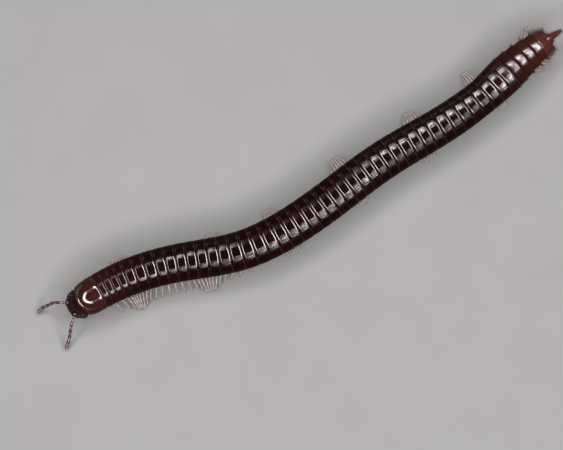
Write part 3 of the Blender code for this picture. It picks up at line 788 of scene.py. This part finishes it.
def head_points(along, angle, lift=0.0):
    """Points on the head's skin by distance behind the face and angle from the top to the right."""
    half_width, top, under = (smooth(pairs, along) for pairs in (HEAD_PLAN, HEAD_TOP, HEAD_UNDER))
    c, s = np.cos(angle), np.sin(angle)
    size = (np.abs(c) ** HEAD_SQUARENESS + np.abs(s) ** HEAD_SQUARENESS) ** (-1 / HEAD_SQUARENESS)
    out = (half_width + lift) * s * size
    return place(along, out, (top + under) / 2 + ((top - under) / 2 + lift) * c * size)


def make_head():
    """The capsule, with its seam and the pits round the feelers' sockets."""
    turn = np.linspace(0.0, math.pi / 2, HEAD_ROWS)[:, None]
    first, last = HEAD_PLAN[0][0], HEAD_PLAN[-1][0]
    along = first + (last - first) * (1 - np.cos(turn)) ** 0.9
    angle = 2 * math.pi * np.arange(HEAD_SIDES)[None, :] / HEAD_SIDES
    away = from_top(angle)
    seam_from, seam_to, seam_depth, seam_width = CROWN_SEAM
    lift = -seam_depth * np.exp(-((away / seam_width) ** 2)) * ease(along, seam_from, seam_from + 0.15)
    lift = lift * (along < seam_to)
    grid = head_points(along, angle, lift)
    pit_radius, pit_edge, pit_depth = FEELER_PIT
    for side in (1, -1):
        start, end = boss_line(side)
        inward = 1 - ease(np.linalg.norm(grid - start, axis=-1), pit_edge, pit_radius)
        grid = grid - pit_depth * inward[..., None] * (end - start) / np.linalg.norm(end - start)
    head = make_piece("head_capsule", [(grid, along[:, 0])], head_shell, "Head")
    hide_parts("head")


# The feeler's socket: both ends of its middle line, and shares along it with radii.
BOSS = ((0.34, 0.50, 1.70), (0.10, 0.68, 1.77))
BOSS_PROFILE = (
    (0.0, 0.26), (0.45, 0.27), (0.72, 0.265), (0.88, 0.235), (0.97, 0.19), (1.0, 0.15), (0.9999, 0.11),
)
BOSS_SIDES = 32
UPWARDS = np.array([0.0, 0.0, 1.0])


def boss_line(side):
    """Both ends of a socket's middle line, the hidden one first."""
    return np.array([place(along, side * out, height) for along, out, height in BOSS])


def make_bosses():
    """The round sockets that the feelers turn in. Their circles are made along an even line and then
    moved to their shares of it, because the last one lies a little behind the one before."""
    shares, radii = np.array(BOSS_PROFILE).T
    tubes = []
    for side in (1, -1):
        start, end = boss_line(side)
        even = np.linspace(start, end, len(shares))
        centres = start + shares[:, None] * (end - start)
        grid = turn_about(even, UPWARDS, radii, BOSS_SIDES) + (centres - even)[:, None, :]
        tubes.append((grid, shares))
    make_piece("feeler_sockets", tubes, head_shell, "Head")


head_shell = plain_shell_material("head_shell_dark", HEAD_DARK, HEAD_LIGHT, 0.26, 0.3, 0.5)
make_head()
make_bosses()

# Rounded plates on each side of the middle: along, out, height, half sizes, and rows and sides.
JAW_PLATES = (
    (0.52, 0.70, 0.90, (0.38, 0.28, 0.37), 24, 36),
    (0.88, 0.90, 1.06, (0.36, 0.34, 0.54), 24, 36),
)
MOUTH_PLATES = (
    (0.78, 0.27, 0.55, (0.42, 0.235, 0.12), 24, 32),
    (0.44, 0.085, 0.56, (0.20, 0.075, 0.09), 12, 24),
)
CHIN_PLATE = (1.02, 0.0, 0.52, (0.20, 0.16, 0.10), 12, 24)


def plate_pairs(plates):
    """Each plate on the right and again on the left."""
    return [egg(along, side * out, *rest) for side in (1, -1) for along, out, *rest in plates]


make_piece("jaw_plates", plate_pairs(JAW_PLATES), head_shell, "Head")
mouth_plates = [*plate_pairs(MOUTH_PLATES), egg(*CHIN_PLATE)]
make_piece("mouth_floor", mouth_plates, plate_skin, "Head")

# The lip, seen from above: its edge's middle and corners, and the notch's half width and depth.
LIP_FRONT, LIP_BACK = 0.05, 0.60
LIP_HALF_WIDTH = 0.50
LIP_BOW, LIP_BOW_CURVE = 0.16, 2.6
LIP_NOTCH = (0.15, 0.12)

# The lip's section: height, and share of the way back.
LIP_SECTION = (
    (0.80, 1.0), (0.80, 0.15), (0.70, 0.06), (0.60, 0.02), (0.512, 0.0), (0.53, 0.25), (0.53, 1.0),
    (0.60, 1.0), (0.70, 1.0),
)
LIP_TEETH = (-0.075, 0.0, 0.075)
LIP_TOOTH_RADII = (0.030, 0.028, 0.020, 0.006)


def make_lip():
    """A curved strip with a notch in the middle of its edge, and three small teeth in the notch."""
    across = np.linspace(-1, 1, 49)
    notch_half, notch_depth = LIP_NOTCH
    out = across * LIP_HALF_WIDTH
    notch = notch_depth * (1 - ease(np.abs(out), notch_half * 0.6, notch_half))
    edge = (LIP_FRONT + LIP_BOW * np.abs(across) ** LIP_BOW_CURVE + notch)[:, None]
    height, depth = np.array(LIP_SECTION).T
    grid = place(edge + depth * (LIP_BACK - edge), out[:, None], height)
    teeth = []
    step = np.arange(len(LIP_TOOTH_RADII))
    for middle in LIP_TEETH:
        route = place(LIP_FRONT + notch_depth + 0.07 - 0.04 * step, middle, 0.57 - 0.004 * step)
        teeth.append((turn_about(route, UPWARDS, LIP_TOOTH_RADII, 8), step / step[-1]))
    lip = make_piece("upper_lip", [(grid, (across + 1) / 2), *teeth], head_shell, "Head")


make_lip()


# Eyes
# Each eye is a patch of about forty round, glossy black beads in rows, set on the side of the head
# above the feeler's socket.
EYE_ALONG, EYE_TURN = 0.62, 58
EYE_HALF_SIZES = (0.27, 0.235)
EYE_BEAD, EYE_BEAD_RISE = 0.034, 0.026
EYE_PITCH = 0.070
EYE_ROW_PITCH = 0.87 * EYE_PITCH
EYE_BASE_RISE = 0.016
EYE_BASE_MARGIN = 0.03


def eye_points(side, ahead, upward, lift):
    """Points over the head at distances back and up from the middle of an eye."""
    step = 0.01
    turn = math.radians(EYE_TURN)
    span = head_points(EYE_ALONG, turn + step) - head_points(EYE_ALONG, turn - step)
    rate = np.linalg.norm(span) / (2 * step)
    along, angle = EYE_ALONG + ahead, turn - upward / rate
    point = head_points(along, side * angle)
    back = head_points(along + step, side * angle) - head_points(along - step, side * angle)
    down = head_points(along, side * (angle + step)) - head_points(along, side * (angle - step))
    outward = np.cross(back, down) * side
    outward /= np.linalg.norm(outward, axis=-1, keepdims=True)
    return point + np.asarray(lift)[..., None] * outward


def dome(side, ahead, upward, sizes, rise, rows, sides, sink):
    """A low dome on the head, with its rim sunk in."""
    turn = np.linspace(0.0, math.pi / 2, rows)[:, None]
    angle = 2 * math.pi * np.arange(sides)[None, :] / sides
    width = np.cos(turn) + 0.02
    lift = rise * np.sin(turn) + 0 * angle
    over, up = sizes[0] * np.cos(angle), sizes[1] * np.sin(angle)
    grid = eye_points(side, ahead + width * over, upward + width * up, lift)
    rim = eye_points(side, ahead + over, upward + up, 0 * angle - sink)
    return np.concatenate([rim, grid]), np.linspace(0.0, 1.0, rows + 1)


def make_eye(name, side):
    """One eye: a low oval base, and the beads in rows on it."""
    half_length, half_height = EYE_HALF_SIZES
    base_sizes = half_length + EYE_BASE_MARGIN, half_height + EYE_BASE_MARGIN
    tubes = [dome(side, 0.0, 0.0, base_sizes, EYE_BASE_RISE, 6, 40, 0.05)]
    rise = EYE_BASE_RISE + EYE_BEAD_RISE
    rows = int(half_height / EYE_ROW_PITCH)
    for row in range(-rows, rows + 1):
        upward = row * EYE_ROW_PITCH
        half = half_length * math.sqrt(max(0.0, 1 - (upward / half_height) ** 2))
        count = int(2 * half / EYE_PITCH) + 1
        for n in range(count):
            ahead = (n - (count - 1) / 2) * EYE_PITCH
            tubes.append(dome(side, ahead, upward, (EYE_BEAD, EYE_BEAD), rise, 5, 10, 0.02))
    eye = make_piece(f"{name}_beads", tubes, eye_black, "Eye")
    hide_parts(name)


eye_black = plain_shell_material("eye_bead_black", (0.004, 0.004, 0.005), (0.010, 0.009, 0.010), 0.10, 0.25)
make_eye("eye_right", 1)
make_eye("eye_left", -1)


# Feelers
# A feeler is seven tubes of purple-brown chitin, each wider at its far end, with pale soft skin
# between them, and a tiny last joint with four sensing pegs. It bends down to tap the ground.

# A feeler's middle line as stations: ahead of the face, out to its side, and height.
FEELER_RIGHT = (
    (-0.07, 0.71, 1.77), (0.28, 0.92, 1.62), (0.72, 1.22, 1.28),
    (1.24, 1.34, 0.86), (1.76, 1.45, 0.50), (2.40, 1.30, 0.27),
)
FEELER_LEFT = (
    (-0.07, 0.71, 1.77), (0.30, 1.00, 1.62), (0.71, 1.37, 1.28),
    (1.08, 1.76, 0.86), (1.48, 2.10, 0.50), (2.00, 2.50, 0.27),
)
FEELER_JOINTS = ((0.075, 0.125), (0.29, 0.130), (0.475, 0.145), (0.645, 0.150), (0.81, 0.165), (0.945, 0.155))
FEELER_END = (0.945, 0.085)
FEELER_PROFILE = (
    (0.00, 0.52), (0.06, 0.58), (0.14, 0.68), (0.40, 0.82), (0.70, 0.97), (0.88, 1.0),
    (0.965, 0.93), (0.995, 0.70),
)
FEELER_END_PROFILE = ((0.0, 0.80), (0.20, 1.0), (0.60, 0.95), (0.72, 0.60), (0.95, 0.52))
FEELER_SIDES = 20

# The sensing pegs: how far they stand from the middle, and places along one with half thickness.
PEG_OUT = 0.028
PEG_TURNS = (45, 135, 225, 315)
PEG_PROFILE = ((0.0, 0.012), (0.03, 0.011), (0.055, 0.008), (0.065, 0.002))
FEELER_PURPLE_DARK, FEELER_PURPLE_LIGHT = (0.045, 0.022, 0.027), (0.082, 0.043, 0.048)
FEELER_PALE = (0.26, 0.19, 0.19)


def feeler_line(side, stations, shares):
    """Points on a feeler's middle line at shares of its length."""
    route = np.array([place(-ahead, side * out, height) for ahead, out, height in stations])
    run = np.concatenate([[0.0], np.cumsum(np.linalg.norm(np.diff(route, axis=0), axis=1))])
    run /= run[-1]
    return np.stack([smooth(list(zip(run, route[:, axis])), shares) for axis in range(3)], axis=-1)


def make_feeler(name, side, stations):
    """A jointed tube with four pegs on its last joint."""
    shares, radii, values = jointed(FEELER_JOINTS, FEELER_PROFILE, FEELER_END, FEELER_END_PROFILE)
    line = feeler_line(side, stations, np.minimum(shares, 1.0))
    tubes = [(turn_about(line, UPWARDS, radii, FEELER_SIDES), values)]
    before, end = feeler_line(side, stations, np.array([0.97, 0.985]))
    ahead = (end - before) / np.linalg.norm(end - before)
    across = np.cross(ahead, UPWARDS)
    peg_places, peg_radii = np.array(PEG_PROFILE).T
    for turn in np.radians(PEG_TURNS):
        offset = PEG_OUT * (math.cos(turn) * across + math.sin(turn) * np.cross(across, ahead))
        peg = end + offset + np.outer(peg_places, ahead)
        tubes.append((turn_about(peg, UPWARDS, peg_radii, 6), np.full(len(peg), 0.05)))
    feeler = make_piece(f"{name}_joints", tubes, feeler_skin, "Joint")
    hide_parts(name)


def feeler_material():
    """Purple-brown, with pale soft skin at both ends of each joint."""
    material, tree, shader, spot = new_material(
        "feeler_skin_purple", ior=1.5, coat=0.35, coat_roughness=0.15
    )
    number, _ = map_parts(tree, "Joint")
    share = math_node(tree, "FRACT", number)
    clouds = noise(tree, spot, 0.15)
    colour = ramp(tree, clouds, ((0.3, FEELER_PURPLE_DARK), (0.7, FEELER_PURPLE_LIGHT)))
    pale = ramp(tree, share, ((0.0, 1.0), (0.07, 0.9), (0.16, 0.0), (0.93, 0.0), (1.0, 0.6)))
    tree.links.new(mixed(tree, pale, colour, FEELER_PALE), shader.inputs["Base Color"])
    tree.links.new(ramp(tree, clouds, ((0.3, 0.26), (0.7, 0.40))), shader.inputs["Roughness"])
    bump(tree, shader, noise(tree, spot, 0.03), 0.004)
    return material


feeler_skin = feeler_material()
make_feeler("antenna_right", 1, FEELER_RIGHT)
make_feeler("antenna_left", -1, FEELER_LEFT)


# Tail
# The last ring is a plain red-brown hood drawn out above into a stout, pointed spur. Two bulging
# valves with raised rims close the vent below it, over a small bottom plate.

# The hood front to back: share of its length, and fall of the surface as a share of the half width.
TAIL_LENGTH = 1.10
TAIL_ROWS = (
    (0.00, 0.080), (0.04, 0.062), (0.12, 0.050), (0.25, 0.038), (0.40, 0.024), (0.55, 0.012),
    (0.68, 0.006), (0.80, 0.010), (0.88, 0.026), (0.94, 0.060), (0.975, 0.105), (0.993, 0.160),
    (1.00, 0.220),
)
TAIL_SIDES = 96

# The spur: distance along the body, rise above the last ring's middle, and half thickness.
SPUR = (
    (45.9, 0.50, 0.42), (46.5, 0.48, 0.33), (46.8, 0.45, 0.28), (47.1, 0.42, 0.22),
    (47.5, 0.41, 0.13), (47.75, 0.42, 0.02),
)
SPUR_ROWS, SPUR_SIDES = 26, 32
VALVE_ROWS, VALVE_SIDES = 14, 40
VALVE_FRONT = -0.12
VALVE_HALF_WIDTH, VALVE_HALF_HEIGHT = 0.25, 0.40
VALVE_DROP, VALVE_BULGE = 0.28, 0.48
BOTTOM_PLATE_AT, BOTTOM_PLATE_HEIGHT = 46.62, 0.49056
BOTTOM_PLATE = (0.22, 0.20, 0.07)
TAIL_DARK, TAIL_LIGHT = (0.058, 0.0150, 0.0105), (0.105, 0.0310, 0.0225)


def spur_at(along):
    """The height of the spur's middle and its half thickness."""
    places, rises, radii = zip(*SPUR)
    height = float(axis_height(places[0])) + smooth(list(zip(places, rises)), along)
    return height, smooth(list(zip(places, radii)), along)


def make_tail():
    """The hood, a closed tube, and the spur that grows out of its top."""
    seam = hind_margin(LAST_RING)
    share, fall = (column[:, None] for column in np.array(TAIL_ROWS).T)
    angle = 2 * math.pi * np.arange(TAIL_SIDES)[None, :] / TAIL_SIDES
    along = seam + share * TAIL_LENGTH
    grid = body_points(along, girth(along) * (1 - fall) + 0 * angle, angle)
    front = plain_ring(seam - 0.3, 0.86, TAIL_SIDES)
    back = plain_ring(seam + TAIL_LENGTH - 0.12, 0.66, TAIL_SIDES)
    hood = np.concatenate([front, grid, back]), np.concatenate([[0.0], share[:, 0], [1.0]])
    spur_along = np.linspace(SPUR[0][0], SPUR[-1][0], SPUR_ROWS)
    height, thick = spur_at(spur_along)
    spur = turn_about(place(spur_along, 0.0, height), UPWARDS, thick, SPUR_SIDES)
    tubes = [hood, (spur, np.linspace(0, 1, SPUR_ROWS))]
    tail = make_piece("tail_hood", tubes, tail_shell, "Ring")
    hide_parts("telson")


def make_valve(name, side):
    """A half dome whose inner edge is a raised rim along the body's middle plane."""
    start = hind_margin(LAST_RING) + TAIL_LENGTH + VALVE_FRONT
    middle = float(axis_height(start)) - VALVE_DROP
    turn = np.linspace(0.0, math.pi / 2 - 0.04, VALVE_ROWS)[:, None]
    angle = 2 * math.pi * np.arange(VALVE_SIDES)[None, :] / VALVE_SIDES
    inner = np.clip(-np.sin(angle), 0.0, 1.0)
    out = 0.018 + VALVE_HALF_WIDTH * (1 + np.cos(turn) * np.sin(angle) * (1 - 0.05 * inner))
    rim = 0.05 * np.exp(-(((out - 0.05) / 0.035) ** 2)) * np.cos(turn)
    along = start + VALVE_BULGE * np.sin(turn) + rim
    height = middle + VALVE_HALF_HEIGHT * np.cos(turn) * np.cos(angle)
    tube = place(along, side * out, height), np.linspace(0, 1, VALVE_ROWS)
    piece = make_piece(f"{name}_dome", [tube], tail_shell, "Ring")
    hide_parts(name)


tail_shell = plain_shell_material("tail_shell_red", TAIL_DARK, TAIL_LIGHT, 0.33, 0.35, 0.4)
make_tail()
make_valve("anal_valve_right", 1)
make_valve("anal_valve_left", -1)
bottom_plate = egg(BOTTOM_PLATE_AT, 0.0, BOTTOM_PLATE_HEIGHT, BOTTOM_PLATE, 12, 24)
make_piece("vent_bottom_plate", [bottom_plate], tail_shell, "Ring")


# Hairs
# Fine, stiff bristles stand in a fringe on the hind edge of each of the last rings and all over the
# tail. Shorter ones grow on the legs, the feelers and the lip. Each is one thin tapered thread.
HAIR_SIDES = 3
HAIR_STATIONS = ((0.0, 1.0), (0.5, 0.75))
HAIR_PATCH = 0.003


def make_hairs(name, hairs, thick, droop, material):
    """Thin tapered threads. Each has a root, a way it points, a length, and a spot on the UV map."""
    roots, ways, lengths, spots = (np.array(column, dtype=float) for column in zip(*hairs))
    lengths = lengths[:, None]
    ways = ways / np.linalg.norm(ways, axis=1, keepdims=True)
    helper = np.where(np.abs(ways[:, 2:3]) > 0.9, [[1.0, 0.0, 0.0]], [[0.0, 0.0, 1.0]])
    across = np.cross(ways, helper)
    across /= np.linalg.norm(across, axis=1, keepdims=True)
    up = np.cross(ways, across)
    sink = np.array((0.0, 0.0, -droop))
    points, marks = [], []
    for station, (share, width) in enumerate(HAIR_STATIONS):
        centre = roots + ways * lengths * share + sink * lengths * share**2
        for side in range(HAIR_SIDES):
            angle = 2 * math.pi * side / HAIR_SIDES
            points.append(centre + thick * width * (math.cos(angle) * across + math.sin(angle) * up))
            marks.append(spots + HAIR_PATCH * np.array([side / HAIR_SIDES, station / len(HAIR_STATIONS)]))
    points.append(roots + ways * lengths + sink * lengths)
    marks.append(spots + HAIR_PATCH * np.array([0.5, 1.0]))
    per_hair = len(points)
    points = np.stack(points, axis=1).reshape(-1, 3)
    marks = np.stack(marks, axis=1).reshape(-1, 2)
    pattern = [(2, 1, 0)]
    for side in range(HAIR_SIDES):
        after = (side + 1) % HAIR_SIDES
        pattern += [(side, after, after + HAIR_SIDES), (side, after + HAIR_SIDES, side + HAIR_SIDES)]
        pattern += [(side + HAIR_SIDES, after + HAIR_SIDES, per_hair - 1)]
    faces = (np.arange(len(roots))[:, None, None] * per_hair + np.array(pattern)).reshape(-1, 3)
    piece = finish_piece(name, points, faces.tolist(), material, "OFBake", marks[faces.ravel()])


def hair_material(name, dark, light):
    """Plain stiff hair, with soft differences of colour from hair to hair."""
    material, tree, shader, spot = new_material(name)
    clouds = noise(tree, spot, 0.3)
    tree.links.new(ramp(tree, clouds, ((0.3, dark), (0.7, light))), shader.inputs["Base Color"])
    tree.links.new(ramp(tree, clouds, ((0.3, 0.35), (0.7, 0.5))), shader.inputs["Roughness"])
    return material


# The fringes: the first ring with one, degrees from bristle to bristle, how far down both sides
# they go, their place before the hind edge, and the shortest and longest bristle.
FRINGE_FIRST_RING = 44
FRINGE_STEP = 6
FRINGE_DOWN_TO = 152
FRINGE_BEFORE_EDGE = 0.05
FRINGE_LENGTH = (0.04, 0.56)
BRISTLE_THICK = 0.020
BRISTLE_DROOP = 0.05


def shell_root(along, angle, share):
    """A bristle's root, a share of the half width from the body's middle, and the way out there."""
    radius = girth(along) * share
    root = body_points(along, radius, angle)
    return root, body_points(along, radius + 1, angle) - root


def make_fringe():
    """The bristles of the last rings, longer towards the tail."""
    chance = np.random.default_rng(11)
    hairs = []
    shortest, longest = FRINGE_LENGTH
    for ring in range(FRINGE_FIRST_RING, LAST_RING + 1):
        along = hind_margin(ring) - FRINGE_BEFORE_EDGE
        back = way_back(along)
        grown = (ring - FRINGE_FIRST_RING + 1) / (LAST_RING - FRINGE_FIRST_RING + 1)
        full = shortest + (longest - shortest) * grown
        for degrees in np.arange(-FRINGE_DOWN_TO, FRINGE_DOWN_TO, FRINGE_STEP):
            root, out = shell_root(along, math.radians(degrees + chance.uniform(-1.5, 1.5)), 0.965)
            way = out + back * chance.uniform(0.25, 0.55)
            length = full * chance.uniform(0.8, 1.1)
            hairs.append((root, way, length, ((ring + 0.5) / MAP_RINGS, (degrees + 180) / 360)))
    make_hairs("tail_fringe", hairs, BRISTLE_THICK, BRISTLE_DROOP, bristle)


# The hood's bristles stand in rows round it: the first row and the step as shares of its length,
# and the first and last place and the step in degrees. The spur's go round it in a spiral.
HOOD_ROWS = 7
HOOD_FIRST_ROW, HOOD_ROW_STEP = 0.12, 0.135
HOOD_TURNS = (-148, 150, 9)
HOOD_BRISTLE_LENGTH = (0.36, 0.62)
SPUR_BRISTLES = 90
SPUR_BRISTLES_FROM, SPUR_BRISTLES_SPAN = 46.35, 1.3
SPUR_BRISTLE_LENGTH = (0.20, 0.40)
SPIRAL_TURN = 2.39996


def make_tail_bristles():
    """The bristles of the hood and the spur."""
    chance = np.random.default_rng(12)
    seam = hind_margin(LAST_RING)
    back = way_back(seam)
    first, last, step = HOOD_TURNS
    hairs = []
    for row in range(HOOD_ROWS):
        along = seam + TAIL_LENGTH * (HOOD_FIRST_ROW + HOOD_ROW_STEP * row)
        for degrees in np.arange(first + 4 * (row % 2), last, step):
            root, out = shell_root(along, math.radians(degrees + chance.uniform(-2, 2)), 0.93)
            way = out + back * chance.uniform(0.3, 0.6)
            length = chance.uniform(*HOOD_BRISTLE_LENGTH)
            hairs.append((root, way, length, ((50 + row / 8) / MAP_RINGS, (degrees + 180) / 360)))
    for n in range(SPUR_BRISTLES):
        share = (n + 0.5) / SPUR_BRISTLES
        along = SPUR_BRISTLES_FROM + SPUR_BRISTLES_SPAN * share
        height, thick = (float(value) for value in spur_at(along))
        angle = n * SPIRAL_TURN
        root, outside = (
            place(along, radius * math.sin(angle), height + radius * math.cos(angle))
            for radius in (0.9 * thick, 0.9 * thick + 1)
        )
        way = outside - root + back * chance.uniform(0.6, 1.0)
        length = chance.uniform(*SPUR_BRISTLE_LENGTH) * (1 - 0.4 * share)
        hairs.append((root, way, length, ((52 + 4 * share) / MAP_RINGS, (angle / (2 * math.pi)) % 1.0)))
    make_hairs("tail_bristles", hairs, BRISTLE_THICK, BRISTLE_DROOP, bristle)


# Bristles on a leg, as shares of its length. None comes nearer to the floor than the last value.
LEG_HAIR_SHARES = (0.14, 0.20, 0.27, 0.34, 0.41, 0.46, 0.53, 0.60, 0.66, 0.72, 0.78, 0.84, 0.90, 0.94)
LEG_HAIR_LENGTH = (0.05, 0.10)
FINE_HAIR_THICK = 0.006
LEG_HAIR_FLOOR = 0.08
HAIR_MAP_LENGTH = 50.0


def make_leg_hairs():
    """Pale bristles on all sides of the legs, pointing towards the feet."""
    chance = np.random.default_rng(13)
    hairs = []
    for _, root, stoutness in leg_roots():
        for side in (1, -1):
            shares = np.array(LEG_HAIR_SHARES) + chance.uniform(-0.02, 0.02, len(LEG_HAIR_SHARES))
            line = leg_line(root, side, shares)
            ahead = leg_line(root, side, shares + 0.01) - line
            radii = np.interp(shares, LEG_SHARES, LEG_RADII) * stoutness * 0.85
            for n, spot in enumerate(line):
                run = ahead[n] / np.linalg.norm(ahead[n])
                free = np.array([chance.uniform(-1, 1), chance.uniform(-1, 1), chance.uniform(-1.0, 0.5)])
                free -= free.dot(run) * run
                free /= np.linalg.norm(free)
                way = free + run * chance.uniform(0.5, 1.0)
                length = chance.uniform(*LEG_HAIR_LENGTH)
                if spot[2] + length * way[2] < LEG_HAIR_FLOOR:
                    continue
                mark = (root / HAIR_MAP_LENGTH, 0.5 + side * shares[n] * 0.48)
                hairs.append((spot + free * radii[n], way, length, mark))
    make_hairs("leg_bristles", hairs, FINE_HAIR_THICK, 0.0, pale_bristle)


# Hairs on a feeler, in a spiral from one share of its length over a span, and along the lip.
FEELER_HAIRS = 130
FEELER_HAIRS_FROM, FEELER_HAIRS_SPAN = 0.10, 0.84
FEELER_HAIR_LENGTH = (0.07, 0.13)
LIP_HAIRS = 16
LIP_HAIR_LENGTH = (0.10, 0.16)
FINE_HAIR_DROOP = 0.1


def make_head_hairs():
    """Short hairs round the feelers' joints and a row along the upper lip."""
    chance = np.random.default_rng(14)
    shares, radii, _ = jointed(FEELER_JOINTS, FEELER_PROFILE, FEELER_END, FEELER_END_PROFILE)
    hairs = []
    for side, stations in ((1, FEELER_RIGHT), (-1, FEELER_LEFT)):
        for n in range(FEELER_HAIRS):
            share = FEELER_HAIRS_FROM + FEELER_HAIRS_SPAN * (n + 0.5) / FEELER_HAIRS
            here, after = feeler_line(side, stations, np.array([share, share + 0.01]))
            run = (after - here) / np.linalg.norm(after - here)
            across = np.cross(run, UPWARDS)
            across /= np.linalg.norm(across)
            angle = n * SPIRAL_TURN
            free = math.cos(angle) * across + math.sin(angle) * np.cross(across, run)
            root = here + free * np.interp(share, shares, radii) * 0.93
            way = free + run * chance.uniform(0.6, 1.2)
            mark = (0.3 + 0.2 * side + 0.1 * share, (angle / (2 * math.pi)) % 1.0)
            hairs.append((root, way, chance.uniform(*FEELER_HAIR_LENGTH), mark))
    for n in range(LIP_HAIRS):
        share = (n - 7.5) / 8.5
        out = LIP_HALF_WIDTH * share
        root = place(LIP_FRONT + 0.06 + LIP_BOW * abs(share) ** LIP_BOW_CURVE, out, 0.60)
        way = place(-1.0, out * 1.2, 0.0) - place(0.0, out, 0.6)
        hairs.append((root, way, chance.uniform(*LIP_HAIR_LENGTH), (0.9, n / LIP_HAIRS)))
    make_hairs("feeler_and_lip_hairs", hairs, FINE_HAIR_THICK, FINE_HAIR_DROOP, bristle)


bristle = hair_material("bristle_brown", (0.030, 0.010, 0.008), (0.075, 0.030, 0.022))
pale_bristle = hair_material("bristle_pale", (0.30, 0.20, 0.16), (0.50, 0.38, 0.33))
make_fringe()
make_tail_bristles()
make_leg_hairs()
make_head_hairs()


# Floor, light and camera
# The model stands on a plain pale floor. A ring of soft lamps round the lens lights it from all
# sides, and the camera looks down from almost straight above.
FLOOR_HALF = 2500.0
FLOOR_PALE = (0.222, 0.233, 0.225)
FLOOR_DIM = (0.2131, 0.2237, 0.2160)
LOOK_AT = (-1.75, -3.22, 1.9)
CAMERA_ELEVATION = 84.0
CAMERA_DISTANCE = 193.5
CAMERA_LENS, CAMERA_SENSOR = 150.0, 36.0
CAMERA_CLIP = (0.005, 10.0)

# The ring of lamps: its angle from the lens seen from the animal, and the angle a lamp takes up.
LAMPS = 16
LAMP_TILT = 40.0
LAMP_SPREAD = 13.0
LAMP_DISTANCE = 130.0
LAMP_OVERLAP = 1.02
LAMP_RADIANCE = 9.5
LAMP_COLOUR = (1.0, 0.94, 0.965)
SKY = 0.015


def view_axes():
    """The way from the animal to the camera, and the two ways square to it."""
    rise = math.radians(CAMERA_ELEVATION)
    back = Vector((0, -math.cos(rise), math.sin(rise)))
    right = Vector((1, 0, 0))
    return back, right, back.cross(right)


def make_floor():
    """A wide level square of pale, slightly cloudy ground."""
    half = FLOOR_HALF * MM
    corners = [(-half, -half, 0), (half, -half, 0), (half, half, 0), (-half, half, 0)]
    mesh = bpy.data.meshes.new("floor")
    mesh.from_pydata(corners, [], [(0, 1, 2, 3)])
    floor = bpy.data.objects.new("floor", mesh)
    bpy.context.scene.collection.objects.link(floor)
    material, tree, shader, spot = new_material("floor_pale", ior=1.3)
    clouds = noise(tree, spot, 6.0)
    tree.links.new(ramp(tree, clouds, ((0.3, FLOOR_DIM), (0.7, FLOOR_PALE))), shader.inputs["Base Color"])
    shader.inputs["Roughness"].default_value = 0.7
    mesh.materials.append(material)


def make_lamps():
    """Flat lamps edge to edge in a ring, each facing the animal."""
    back, right, up = view_axes()
    tilt = math.radians(LAMP_TILT)
    long_side = 2 * math.pi * LAMP_DISTANCE * math.sin(tilt) / LAMPS * LAMP_OVERLAP
    short_side = LAMP_DISTANCE * math.radians(LAMP_SPREAD)
    for n in range(LAMPS):
        turn = 2 * math.pi * (n + 0.5) / LAMPS
        way = math.cos(tilt) * back + math.sin(tilt) * (math.cos(turn) * right + math.sin(turn) * up)
        round_way = -math.sin(turn) * right + math.cos(turn) * up
        lamp = bpy.data.lights.new(f"lamp_{n}", "AREA")
        lamp.shape = "RECTANGLE"
        lamp.size, lamp.size_y = long_side * MM, short_side * MM
        lamp.energy = math.pi * LAMP_RADIANCE * lamp.size * lamp.size_y
        lamp.color = LAMP_COLOUR
        holder = bpy.data.objects.new(f"lamp_{n}", lamp)
        holder.location = (Vector(LOOK_AT) + way * LAMP_DISTANCE) * MM
        own_axes = Matrix((round_way, way.cross(round_way), way))
        holder.rotation_euler = own_axes.transposed().to_euler()
        holder.visible_camera = False
        bpy.context.scene.collection.objects.link(holder)


def make_camera():
    """A long lens that looks down at the middle of the animal."""
    back, _, _ = view_axes()
    camera = bpy.data.cameras.new("camera")
    camera.lens, camera.sensor_width = CAMERA_LENS, CAMERA_SENSOR
    camera.clip_start, camera.clip_end = CAMERA_CLIP
    holder = bpy.data.objects.new("camera", camera)
    holder.location = (Vector(LOOK_AT) + back * CAMERA_DISTANCE) * MM
    holder.rotation_euler = back.to_track_quat("Z", "Y").to_euler()
    bpy.context.scene.collection.objects.link(holder)
    bpy.context.scene.camera = holder


make_floor()
make_lamps()
make_camera()
world = bpy.data.worlds.new("studio")
world.use_nodes = True
world.node_tree.nodes["Background"].inputs["Color"].default_value = (1.0, 1.0, 1.0, 1.0)
world.node_tree.nodes["Background"].inputs["Strength"].default_value = SKY
bpy.context.scene.world = world
bpy.context.scene.view_settings.view_transform = "Standard"
